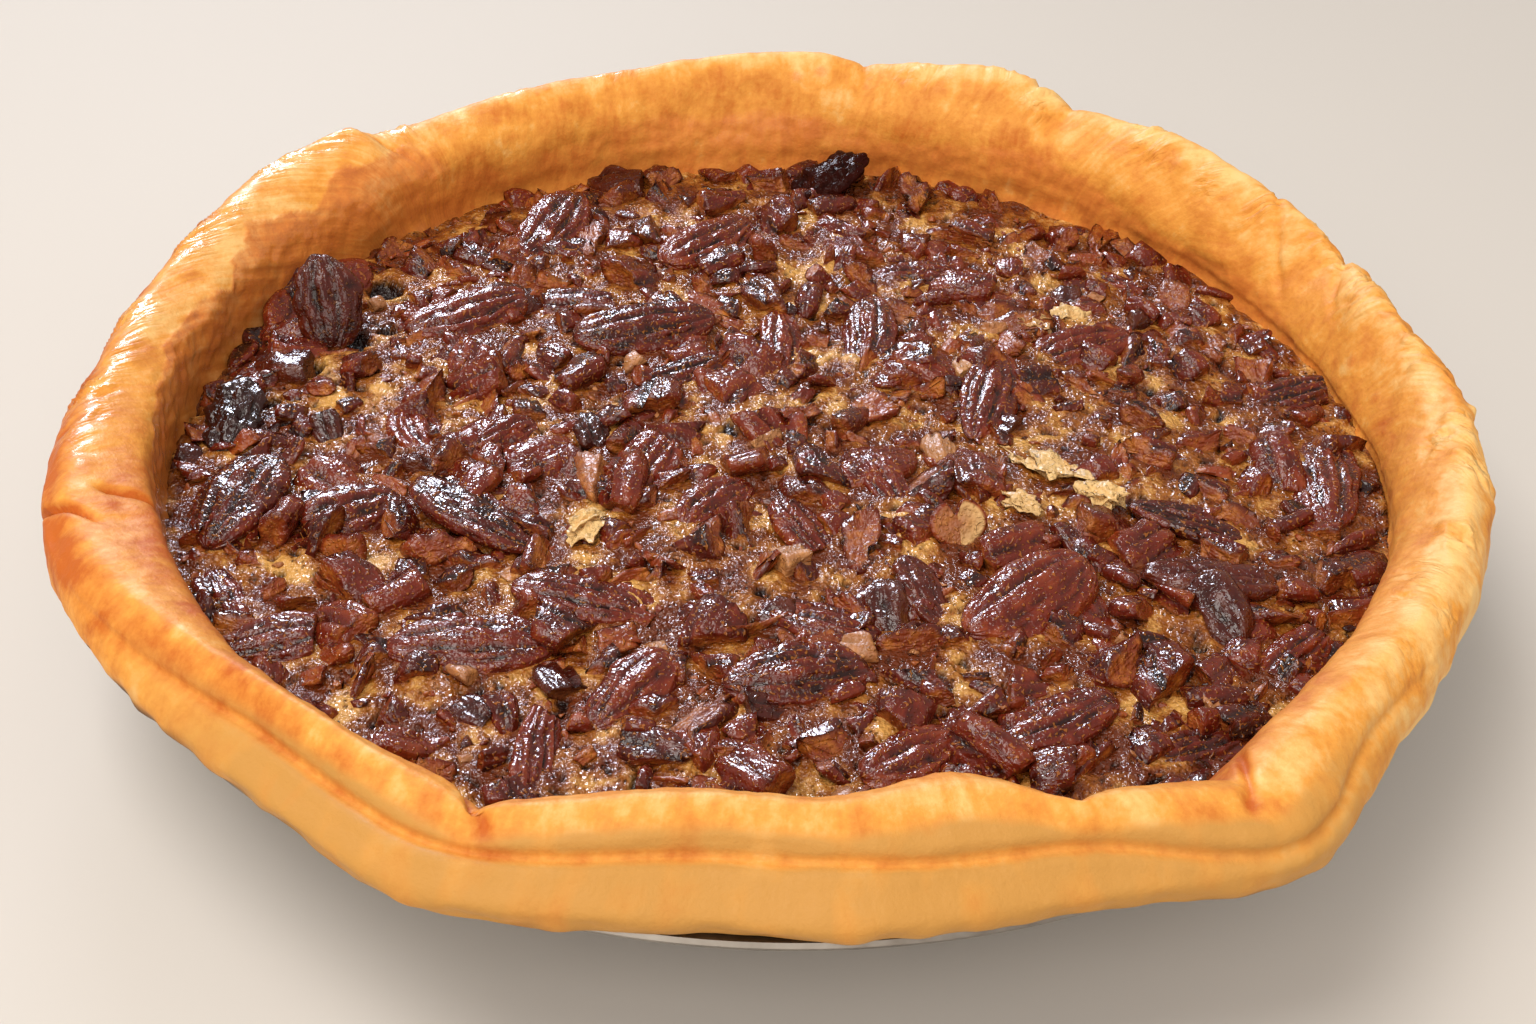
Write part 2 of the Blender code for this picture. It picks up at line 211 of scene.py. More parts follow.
class PastrySettings(bpy.types.PropertyGroup):
    pale: colour_setting("Pale pastry", "#fbc97c", "Pastry that the oven hardly browned")
    golden: colour_setting("Golden pastry", "#f0a345", "Pastry baked to gold")
    brown: colour_setting("Browned pastry", "#c8661f", "The most browned pastry")
    skirt: colour_setting("Skirt", "#cb9349", "The pastry that hangs over the dish")
    stain: colour_setting("Stained pastry", "#e4863c", "The inner wall where syrup soaked it")
    syrup: colour_setting("Baked syrup", "#ca7332", "Syrup that baked dark low on the wall")
    # Painted shade: the dark under the overhanging lower edge of the skirt
    underside_shade: colour_setting("Seared pastry", "#5e3c1c", "The lower edge against the hot dish")
    ripple: size_setting("Ripple", 0.36 * MM, "Height of the brush ripples in the egg wash")
    unevenness: size_setting("Unevenness", 0.9 * MM, "How uneven the rolled pastry is")


class FillingSettings(bpy.types.PropertyGroup):
    custard: colour_setting("Custard", "#9a5a1e", "The baked custard")
    froth: colour_setting("Froth", "#dba458", "Fine pale bubbles in the custard")
    syrup: colour_setting("Syrup", "#672d12", "Dark syrup in the hollows")
    # Painted shade: the near black laid in the hollows and pores of the custard
    hollow_shade: colour_setting("Hollows", "#1d0a06", "The deepest hollows between nuts")
    relief: size_setting("Relief", 0.7 * MM, "How uneven the custard is")


class NutSettings(bpy.types.PropertyGroup):
    skin: colour_setting("Pecan skin", "#6a2010", "The glazed skin")
    worn: colour_setting("Worn skin", "#a0471a", "The skin on the ridges")
    # The near-black in the grooves is partly the skin's own darker colour and partly painted shade
    furrow_shade: colour_setting("Furrows", "#260a07", "The skin in the grooves")
    flesh: colour_setting("Nut flesh", "#d88c2e", "A broken face soaked in syrup")
    bare: colour_setting("Bare nut", "#efc886", "Flesh that stayed dry and pale")
    char: colour_setting("Burnt nut", "#170807", "A nut that burnt")
    film: colour_setting("Custard film", "#8f4e22", "Custard that clings to the foot of a nut")
    amber: colour_setting("Amber beads", "#cf8030", "Beads of clear syrup on the nuts")
    groove: bpy.props.FloatProperty(
        name="Groove depth", description="How deep the main grooves are, as a share of a nut", default=0.50
    )
    chopped: count_setting("Chopped pieces", 285, "Pieces of 9 to 18 mm")
    chips: count_setting("Chips", 520, "Chips of 4.5 to 9 mm")
    crumbs: count_setting("Crumbs", 1500, "Crumbs of 1 to 3 mm")


class StageSettings(bpy.types.PropertyGroup):
    floor: colour_setting("Floor", "#dad5cf", "The plain floor")
    window: power_setting("Window light", 18.0, "The window that gleams on wet syrup")
    sky: power_setting("Overhead light", 8.4, "The light from above")
    fill: power_setting("Fill light", 5.0, "The light from the front")


# ---- Small helpers -------------------------------------------------------------------------------


def mix(low, high, share):
    return low + (high - low) * share


def ease(value):
    """A smooth step from 0 to 1 as the value goes from 0 to 1."""
    value = min(max(value, 0.0), 1.0)
    return value * value * (3.0 - 2.0 * value)


def grain(place, size, seed=0.0):
    """Smooth noise from -1 to 1 whose lumps are about this size in metres."""
    x, y, z = place
    return noise.noise(Vector((x / size + seed, y / size - 3.7 * seed, z / size + 1.9 * seed)))


def per(size_in_mm):
    """The scale of a noise texture whose features have this size."""
    return 1.0 / (size_in_mm * MM)


def turn_between(azimuth, centre):
    return (azimuth - centre + 180.0) % 360.0 - 180.0


def lobe(azimuth, centre, width):
    return math.exp(-((turn_between(azimuth, centre) / width) ** 2))


def notch(azimuth, centre, reach):
    return math.exp(-abs(turn_between(azimuth, centre)) / reach)


def flap(azimuth, edge, reach):
    """The end of a roll that lies over the next one: it rises steeply and falls away past its edge."""
    past = turn_between(azimuth, edge)
    return ease((past + 1.6) / 3.2) * math.exp(-max(past, 0.0) / reach)


def read_places(mesh):
    places = np.empty(len(mesh.vertices) * 3, np.float32)
    mesh.vertices.foreach_get("co", places)
    return places.reshape(-1, 3).astype(float)


def write_places(mesh, places):
    mesh.vertices.foreach_set("co", np.asarray(places, np.float32).ravel())
    mesh.update()


def write_values(mesh, name, values):
    """Stores one number, or one vector, for each point, which a material reads by this name."""
    values = np.asarray(values, np.float32)
    if values.ndim == 2:
        mesh.attributes.new(name, "FLOAT_VECTOR", "POINT").data.foreach_set("vector", values.ravel())
    else:
        mesh.attributes.new(name, "FLOAT", "POINT").data.foreach_set("value", values)


def make_mesh(name, shape):
    mesh = bpy.data.meshes.new(name)
    shape.to_mesh(mesh)
    shape.free()
    return mesh


def make_piece(name, mesh, finish, replaced=()):
    """Shows a finished mesh as a piece of the pie, in place of the solids that it stands for."""
    mesh.shade_smooth()
    mesh.materials.clear()
    mesh.materials.append(finish)
    piece = bpy.data.objects.new(name, mesh)
    bpy.context.scene.collection.objects.link(piece)
    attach(piece, BODY)
    if replaced:
        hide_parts(*replaced)


SUM = {"operation": "MULTIPLY_ADD"}  # the first times the second, plus the third
SHARE = {"operation": "MULTIPLY_ADD", "use_clamp": True}  # the same, kept from 0 to 1
BLEND = {"data_type": "RGBA"}  # input 0 is the share of the second colour, 6 and 7 are the two colours


def feed(tree, node, inputs):
    """Sets a node's inputs to values or sockets. A node stands for the first of its outputs in use."""
    for name, value in inputs.items():
        if isinstance(value, bpy.types.Node):
            value = next(socket for socket in value.outputs if socket.enabled)
        if isinstance(value, bpy.types.NodeSocket):
            tree.links.new(value, node.inputs[name])
        else:
            node.inputs[name].default_value = value


def add(tree, kind, inputs=None, stops=(), **settings):
    """Adds a shader node with its settings and inputs. stops are the places and colours of a ramp."""
    node = tree.nodes.new("ShaderNode" + kind)
    for name, value in settings.items():
        setattr(node, name, value)
    feed(tree, node, inputs or {})
    for number, (place, colour) in enumerate(stops):
        if number > 1:
            node.color_ramp.elements.new(place)
        node.color_ramp.elements[number].position = place
        node.color_ramp.elements[number].color = colour
    return node


def new_material(name):
    """An empty material, its shader and its node tree."""
    made = bpy.data.materials.new(name)
    made.use_nodes = True
    tree = made.node_tree
    return made, tree, tree.nodes["Principled BSDF"]


# ---- The rim's shape -----------------------------------------------------------------------------


def front_share(azimuth):
    """1 along the front, where the rim is a narrow roll over a skirt, and 0 along the back."""
    past = abs(turn_between(azimuth, 268)) - 48.0
    return 0.5 - 0.5 * math.sin(math.pi * min(max(past / 34.0, -0.5), 0.5))


def bulges(azimuth, kind, *rows):
    """The sum of lobes or notches. Each row is a size in mm, an azimuth and a width or reach in degrees."""
    return sum(size * kind(azimuth, at, wide) for size, at, wide in rows) * MM


def skirt_radius(azimuth):
    left = [(3.5, 204, 15), (-1.5, 177, 10), (4.6, 248, 10), (-1.4, 266, 6), (3.6, 147, 9)]
    right = [(8.6, 305, 9.5), (-3.0, 12, 8), (2.0, 66, 14), (1.8, 92, 16)]
    return SKIRT_RADIUS + bulges(azimuth, lobe, *left, *right)


def crest_height(azimuth):
    swells = [(3.0, 92, 60), (4.2, 68, 8), (2.6, 89, 12), (2.6, 42, 13), (-1.0, 130, 7)]
    dips = [(1.8, 82, 2), (2.2, 59.5, 2.5), (1.4, 35, 3), (2.8, 24, 3), (1.6, 204, 3), (1.8, 250, 4)]
    dips += [(1.6, 303.5, 5)]
    rise = bulges(azimuth, lobe, *swells) + bulges(azimuth, flap, (3.6, 137, 11))
    return CREST_HEIGHT + rise - bulges(azimuth, notch, *dips)


def shoulder_radius(azimuth):
    """The inner edge of the rim's top."""
    smooth = [(4.0, 95, 15), (1.4, 150, 8), (-7.4, 266, 12), (-8.3, 284, 7)]
    sharp = [(6.5, 250, 3), (4.0, 292, 2), (6.6, 303.5, 4.5)]
    radius = mix(111.3, 113.4, front_share(azimuth)) * MM
    return radius + bulges(azimuth, lobe, *smooth) + bulges(azimuth, notch, *sharp)


def shoulder_height(azimuth):
    return SHOULDER_HEIGHT + bulges(azimuth, lobe, (2.0, 268, 55), (-9.0, 10, 34))


def crust_corners(azimuth):
    """The corners (radius, height) of the crust's section here, from its foot over to its inside."""
    lean = math.hypot(1.0, DISH_SLOPE)
    floor = DISH_THICKNESS + GAP
    base = DISH_BASE_RADIUS - (DISH_THICKNESS + GAP) * lean
    seat = DISH_HEIGHT + GAP
    inside_floor = floor + PASTRY_THICKNESS
    inside_base = base + DISH_SLOPE * PASTRY_THICKNESS - PASTRY_THICKNESS * lean

    front = front_share(azimuth)
    corner = lobe(azimuth, 304, 8)
    skirt, crest = skirt_radius(azimuth), crest_height(azimuth)
    shoulder, sill = shoulder_radius(azimuth), shoulder_height(azimuth)
    crease = skirt - CREASE_INSET - (2.4 * lobe(azimuth, 270, 13) - 5.0 * corner) * MM
    crown = mix(skirt - CREST_INSET, mix(shoulder, crease, 0.42), front)
    return [
        (base, floor),
        (base + DISH_SLOPE * (seat - floor), seat),
        (skirt - SKIRT_HEEL, seat),
        (skirt, seat + SKIRT_EDGE),
        (skirt + SKIRT_BULGE, BULGE_HEIGHT),
        (mix(skirt, crease, front), BROW_HEIGHT - 2.4 * MM * corner * front),
        (mix(skirt, crease, front) - 1.4 * MM, crest - CREST_ROLL),
        (crown, crest),
        (mix(crown, shoulder, 0.55), mix(crest, sill, 0.36)),
        (shoulder, sill),
        (mix(WALL_RADIUS, shoulder, 0.35), mix(FILLING_LEVEL, sill, 0.5)),
        (WALL_RADIUS, FILLING_LEVEL - 1.5 * MM),
        (inside_base, inside_floor),
    ]


def section_weights():
    """How much each corner counts at each point of the section: a curve between a spline and its cage."""
    rows = []
    corners = len(SECTION_POINTS) + 1
    for stretch, points in enumerate(SECTION_POINTS):
        for step in range(points + (stretch == corners - 2)):
            t = step / points
            through = (
                -0.5 * t + t**2 - 0.5 * t**3,
                1 - 2.5 * t**2 + 1.5 * t**3,
                0.5 * t + 2 * t**2 - 1.5 * t**3,
                -0.5 * t**2 + 0.5 * t**3,
            )
            near = (
                (1 - t) ** 3 / 6,
                (4 - 6 * t**2 + 3 * t**3) / 6,
                (1 + 3 * t + 3 * t**2 - 3 * t**3) / 6,
                t**3 / 6,
            )
            row = [0.0] * corners
            for k in range(4):
                row[min(max(stretch + k - 1, 0), corners - 1)] += mix(through[k], near[k], 0.45)
            rows.append(row)
    return np.array(rows)


def filling_height(x, y):
    """The top of the filling, a little domed and uneven."""
    share = np.minimum(np.hypot(x, y) / WALL_RADIUS, 1.0)
    east, north = x / MM, y / MM
    swell = (
        0.55 * np.sin(east / 9.0 + 1.3) * np.cos(north / 11.0)
        + 0.45 * np.sin(north / 7.0 - east / 16.0)
        + 0.30 * np.cos(east / 5.5 + north / 8.0)
    )
    return FILLING_LEVEL + FILLING_RISE * (1.0 - share**2) + swell * (1.0 - share**6) * MM


# ---- Crust ---------------------------------------------------------------------------------------


def rolled_sleeve(points, steps):
    """A closed sleeve of rings. Its columns are 1, 2, 3... m from the axis until they are put in place."""
    shape = bmesh.new()
    bmesh.ops.create_grid(shape, x_segments=points - 1, y_segments=steps, size=0.5)
    for vert in shape.verts:
        column = (vert.co.x + 0.5) * (points - 1) + 1.0
        turn = (vert.co.y + 0.5) * 2 * math.pi
        vert.co = (column * math.cos(turn), column * math.sin(turn), 0.0)
    bmesh.ops.remove_doubles(shape, verts=shape.verts, dist=MM)
    bmesh.ops.holes_fill(shape, edges=[edge for edge in shape.edges if edge.is_boundary], sides=0)
    return shape


def fold_depth(azimuth, inward, radius):
    """How deep the folds cut here, in mm. inward is measured over the surface from the crest, in mm."""
    depth = 0.0
    for at, lean, start, end, deep, wide in FOLDS:
        across = math.radians(turn_between(azimuth, at + lean * inward)) * radius / MM
        across += 0.9 * math.sin(inward / 3.5 + at)
        if abs(across) < 4 * wide and start - 3 < inward < end + 3:
            fade = ease((inward - start + 3) / 6) * ease((end + 3 - inward) / 6)
            depth += deep * fade * math.exp(-((across / wide) ** 2))
    return depth


def make_crust(settings):
    """The puff-pastry shell, with its folds, ripples and creases, and how each part of it browned."""
    weights = section_weights()
    azimuths = np.arange(RIM_STEPS) * 360.0 / RIM_STEPS
    corners = np.array([crust_corners(azimuth) for azimuth in azimuths])
    sections = np.einsum("pc,acx->apx", weights, corners)
    lengths = np.zeros(sections.shape[:2])
    lengths[:, 1:] = np.cumsum(np.hypot(*np.moveaxis(np.diff(sections, axis=1), 2, 0)), axis=1)
    starts = np.concatenate([[0], np.cumsum(SECTION_POINTS)])
    inward = (lengths - lengths[:, [starts[CROWN]]]) / MM
    brow = inward[:, starts[BROW]]
    ways = np.gradient(sections, axis=1)
    ways /= np.maximum(np.hypot(ways[..., 0], ways[..., 1]), 1e-9)[..., None]
    edge = np.interp(azimuths, *zip(*STAIN_EDGE))
    swirl = np.interp(azimuths, *zip(*SWIRL))

    mesh = make_mesh("crust", rolled_sleeve(len(weights), RIM_STEPS))
    places = read_places(mesh)
    columns = np.rint(np.hypot(places[:, 0], places[:, 1]) - 1.0).astype(int)
    turns = np.arctan2(places[:, 1], places[:, 0])
    rows = np.rint(np.degrees(turns) * RIM_STEPS / 360.0).astype(int) % RIM_STEPS

    values = {name: np.zeros(len(places)) for name in PASTRY_VALUES}
    layers = np.zeros((len(places), 3))
    for number, (row, column) in enumerate(zip(rows, columns)):
        azimuth = azimuths[row]
        radius, height = sections[row, column]
        turn = math.radians(azimuth)
        place = Vector((radius * math.cos(turn), radius * math.sin(turn), height))
        away = inward[row, column]
        front = front_share(azimuth)
        right = ease((70 - abs(turn_between(azimuth, 20))) / 25)
        inner = ease((away - 2.0) / 5.0)
        outer = ease((-away - 2.0) / 4.0)
        top = math.exp(-((away / 9.0) ** 4))
        open_air = ease((column - starts[2]) / 4.0) * ease((starts[-2] + 3 - column) / 3.0)
        turned = math.radians(azimuth - swirl[row] * away)
        layer = Vector((125 * MM * math.cos(turned), 125 * MM * math.sin(turned), away * 0.36 * MM))
        bends = [grain(place, mix(9, 11, right) * MM, seed) for seed in (51.0, 53.0, 57.0)]
        layer += Vector(bends) * (mix(1.3, 3.0, right) * MM)
        layers[number] = layer

        # Lumps of the rolled dough, its drawn-out layers, and blisters
        broad = grain(place, 17 * MM) + 0.55 * grain(place, 7 * MM, 5.0)
        fine = grain(place, 2.2 * MM, 9.0)
        drawn = grain(layer, 3.6 * MM, 3.0)
        spread, centres = noise.voronoi(place / (6.5 * MM))
        blister = ease(1.0 - spread[0] / 0.42) * (noise.cell(centres[0] * 7.3) > 0.45) * top
        ridges = 0.30 * abs(drawn) * (1.0 - 0.7 * outer * front)
        lift = settings.unevenness / MM * (0.7 * broad + 0.10 * fine - ridges)
        lift += 0.16 * grain(place, 4 * MM, 33.0) * (1.0 - 0.5 * front)
        low_edge = ease((41.5 - height / MM) / 3.0) * outer
        lift += 0.9 * low_edge * grain(place, 6 * MM, 41.0)
        lift += (0.20 + 0.65 * right) * blister * (1.0 - 0.6 * front) - 0.25
        # Brush ripples where the egg wash pooled, and crinkles on one side
        washed = ease((azimuth - 100) / 16) * ease((200 - azimuth) / 14)
        washed *= ease((away + 9) / 6) * ease((7 - away) / 7)
        washed *= ease(0.55 + 1.3 * grain(place, 11 * MM, 7.0) - 0.35 * (azimuth < 132))
        wave = 1.0 - 4.0 * abs(grain(layer, 2.7 * MM, 7.0))
        lift += settings.ripple / MM * wave * washed
        crimped = max(washed, 0.85 * right * top * ease(0.3 + 1.6 * grain(place, 9 * MM, 43.0)))
        lift += (0.20 + 0.45 * right) * wave * crimped + 0.45 * right * grain(place, 11 * MM, 45.0)
        folds = fold_depth(azimuth, away, radius)
        past_brow = away - brow[row] - 0.5 * grain(place, 14 * MM, 31.0)
        crease = front * math.exp(-((past_brow / 0.8) ** 2)) * (1.0 - 0.5 * lobe(azimuth, 303.5, 12))
        lip = front * math.exp(-(((past_brow + 2.0) / 1.1) ** 2))
        lift -= folds + 1.2 * crease - 0.25 * lip
        # The stain's edge stands a little proud, and the soaked wall is blistered
        tide = edge[row] + 1.2 * grain(place, 9 * MM, 13.0) + 0.6 * grain(layer, 2.4 * MM, 17.0)
        sharp = ease((40 - abs(turn_between(azimuth, 166))) / 10)
        stained = inner * ease((tide - height / MM) / mix(2.4, 0.4, sharp) + 0.5) * mix(0.80, 1.0, sharp)
        stained *= 1.0 - 0.40 * lobe(azimuth, 119, 11)
        for at, where, size in SPLASHES:
            aside = math.hypot(math.radians(turn_between(azimuth, at)) * 118, away - where) + 0.8 * broad
            stained = max(stained, 0.8 * ease((size - aside) / 0.8))
        lift += 0.25 * stained * (fine + drawn) + 0.18 * stained * sharp
        spur = lobe(azimuth, 358.3, 0.8) * math.exp(-(((away + 5.0) / 0.9) ** 2))
        lift += 1.4 * spur - 0.9 * lobe(azimuth, 357, 4) * outer
        lift *= open_air

        way = ways[row, column]
        radius += lift * MM * way[1]
        height -= lift * MM * way[0]
        places[number] = (radius * math.cos(turn), radius * math.sin(turn), height)

        # How much each part browned, with painted shade and painted light mixed into the same value
        scorch = 0.0
        for at, wide, where, deep in SCORCHES:
            scorch += deep * lobe(azimuth, at, wide) * math.exp(-(((away - where) / 4.5) ** 2))
        mottle = 0.55 * grain(place, 10 * MM, 21.0) + 0.35 * grain(place, 4 * MM, 23.0)
        mottle += 0.25 * grain(layer, 3 * MM, 27.0)
        bake_and_shade = 0.35 + 0.32 * mottle + 0.10 * inner - 0.16 * math.exp(-((away / 3.5) ** 2)) - 0.06 * broad
        # Painted shade darkens the band round the front crease and the folds; a painted highlight makes the
        # lip just below the crease paler
        furrow_shade = front * math.exp(-((past_brow / 2.0) ** 2))
        bake_and_shade += 0.12 * furrow_shade - 0.18 * lip + (0.45 - 0.38 * right) * min(folds, 1.2)
        bake_and_shade += 0.22 * inner * ease(away / 14 - 0.3)
        bake_and_shade += 0.16 * blister + scorch * (0.8 + 0.8 * mottle) + 0.12 * front * ease((away - 3) / 4)
        # Painted shade: the left outside of the rim and the left front of its top are darkened, as if lit
        # from the right. Painted light: the right side and the left inner wall above the stain are made
        # paler.
        bake_and_shade += 0.25 * lobe(azimuth, 172, 34) * ease((-away - 1) / 4)
        bake_and_shade += 0.32 * lobe(azimuth, 180, 30) * ease((4 - away) / 8)
        bake_and_shade += 0.24 * lobe(azimuth, 214, 22) * (1.0 - outer)
        bake_and_shade += 0.22 * lobe(azimuth, 193, 12) * ease((6 - away) / 8) - 0.26 * lobe(azimuth, 163, 26) * inner
        bake_and_shade += 0.10 * front - (0.16 * right + 0.10 * lobe(azimuth, 12, 16)) * (1.0 - 0.6 * inner)
        values["bake_and_shade"][number] = bake_and_shade - 0.5 * low_edge * lobe(azimuth, 330, 26) - 0.6 * spur
        values["stain"][number] = stained
        tidemark = 0.6 * sharp * math.exp(-(((tide - height / MM - 0.7) / 0.8) ** 2))
        values["syrup"][number] = max(ease((36.5 - height / MM) / 6.0 + 0.8 * mottle), tidemark) * stained
        values["wash"][number] = max(washed, mix(0.3, 1.0, sharp) * stained)
        values["crimp"][number] = crimped
        cloud = 1.0 + 0.2 * grain(layer, 3.5 * MM, 37.0) + 0.15 * grain(place, 7 * MM, 39.0)
        values["skirt"][number] = outer * front * (1.0 - 0.6 * crease) * cloud
        # Painted shade under the overhanging lower edge of the skirt, darkest at the front left and in a
        # narrow spot at azimuth 300
        underside_shading = 0.35 + 0.65 * lobe(azimuth, 218, 18) - 0.35 * lobe(azimuth, 322, 18)
        underside_shading += 0.6 * lobe(azimuth, 300, 3)
        hot = 38.4 + 2.4 * lobe(azimuth, 218, 14)
        values["underside_shade"][number] = ease((hot - height / MM) / 3.0 + 0.9 * mottle) * outer * underside_shading
    write_places(mesh, places)
    for name, each in values.items():
        write_values(mesh, name, each)
    write_values(mesh, "layer", layers)
    make_piece("baked_crust", mesh, pastry_finish(settings), ["crust"])


def pastry_finish(settings):
    """Egg-washed puff pastry, baked: satin and mottled gold, glossier where egg wash or syrup lies on it."""
    made, tree, shader = new_material("egg-washed baked puff pastry")
    where = add(tree, "TexCoord").outputs["Object"]
    layer = add(tree, "Attribute", attribute_name="layer").outputs["Vector"]
    read = {name: add(tree, "Attribute", attribute_name=name).outputs["Fac"] for name in PASTRY_VALUES}
    # Patches the size of a fingertip, thin layers of the dough drawn out across the rim, and specks
    patches = add(tree, "TexNoise", {"Vector": where, "Scale": per(8), "Detail": 5.0, "Roughness": 0.62})
    leaves = add(tree, "TexNoise", {"Vector": layer, "Scale": per(2.0), "Detail": 2.0})
    specks = add(tree, "TexNoise", {"Vector": where, "Scale": per(1.2), "Detail": 3.0, "Roughness": 0.65})
    uneven = add(tree, "Math", {0: leaves, 1: 0.45, 2: patches}, **SUM)
    uneven = add(tree, "Math", {0: specks, 1: 0.30, 2: uneven}, **SUM)
    uneven = add(tree, "Math", {0: uneven, 1: 1.3, 2: -1.1375}, **SUM)
    # The browning ramp also carries the painted shade and painted light that the crust's browning value holds
    baked = add(tree, "Math", {0: read["bake_and_shade"], 1: uneven}, operation="ADD")
    browning = [(0.0, settings.pale), (0.40, settings.golden), (1.0, settings.brown)]
    colour = add(tree, "ValToRGB", {0: baked}, stops=browning)
    tan = add(tree, "Math", {0: uneven, 1: -0.3, 2: read["skirt"]}, **SHARE)
    tan = add(tree, "Math", {0: tan, 1: read["skirt"]}, operation="MULTIPLY")
    hung = add(tree, "Mix", {0: tan, 6: colour, 7: settings.skirt}, **BLEND)
    # The syrup soaks in unevenly, and bakes darkest low on the wall
    deep = add(tree, "Math", {0: uneven, 1: 1.8, 2: read["syrup"]}, **SHARE)
    soaked = add(tree, "Mix", {0: deep, 6: settings.stain, 7: settings.syrup}, **BLEND)
    cover = add(tree, "Math", {0: uneven, 1: 0.9, 2: 0.80}, **SHARE)
    cover = add(tree, "Math", {0: cover, 1: read["stain"]}, operation="MULTIPLY")
    wet = add(tree, "Mix", {0: cover, 6: hung, 7: soaked}, **BLEND)
    # Painted shade darkens the lower edge of the skirt where it hangs over the dish
    done = add(tree, "Mix", {0: read["underside_shade"], 6: wet, 7: settings.underside_shade}, **BLEND)

    rough = add(tree, "Math", {0: read["wash"], 1: -0.34, 2: 0.56}, **SUM)
    rough = add(tree, "Math", {0: uneven, 1: 0.25, 2: rough}, **SUM)
    coat = add(tree, "Math", {0: read["wash"], 1: 0.45}, operation="MULTIPLY", use_clamp=True)
    # Brush ripples in the egg wash, over the grain of the layers
    ripples = add(tree, "TexNoise", {"Vector": layer, "Scale": per(1.9), "Detail": 1.5})
    ripples = add(tree, "Math", {0: ripples, 1: 0.5}, operation="SUBTRACT")
    ripples = add(tree, "Math", {0: ripples}, operation="ABSOLUTE")
    ripples = add(tree, "Math", {0: ripples, 1: read["crimp"]}, operation="MULTIPLY")
    relief = add(tree, "Math", {0: leaves, 1: 0.6, 2: specks}, **SUM)
    relief = add(tree, "Math", {0: ripples, 1: -8.0, 2: relief}, **SUM)
    bump = add(tree, "Bump", {"Height": relief, "Strength": 0.7, "Distance": 0.25 * MM})
    feed(tree, shader, {"Base Color": done, "Roughness": rough, "Normal": bump, "Specular IOR Level": 0.2})
    feed(tree, shader, {"Coat Weight": coat, "Coat Roughness": 0.11})
    return made


# ---- Nuts ----------------------------------------------------------------------------------------


def nut_stance(node):
    """Where a nut's solid lies: its turn as a matrix (along, across, up), its middle and its half sizes."""
    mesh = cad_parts[node].data
    places = read_places(mesh)
    mesh.calc_loop_triangles()
    faces = np.empty(len(mesh.loop_triangles) * 3, np.int32)
    mesh.loop_triangles.foreach_get("vertices", faces)
    corners = places[faces.reshape(-1, 3)]
    areas = np.linalg.norm(np.cross(corners[:, 1] - corners[:, 0], corners[:, 2] - corners[:, 0]), axis=1)
    middles = corners.mean(axis=1)
    middle = (middles * areas[:, None]).sum(0) / areas.sum()
    spread = ((middles - middle) * areas[:, None]).T @ (middles - middle)
    along, across, up = np.linalg.eigh(spread)[1].T[::-1]
    up = up * (1.0 if up[2] >= 0 else -1.0)
    across = np.cross(up, along)
    turn = np.array([along, across, up]).T
    reach = (places - middle) @ turn
    low, high = reach.min(axis=0), reach.max(axis=0)
    return Matrix(turn.tolist()), Vector(middle + turn @ ((low + high) / 2)), (high - low) / 2


def new_nut():
    """An empty nut, and its layers for how proud each point stands and where it lies in the nut's grain."""
    shape = bmesh.new()
    layers = shape.verts.layers
    return shape, layers.float.new("ridge"), layers.float_vector.new("fibre")


def direction(dice, *parts):
    """A direction. Each part is a number, or the limits between which it is drawn."""
    return Vector([dice.uniform(*part) if isinstance(part, tuple) else part for part in parts]).normalized()


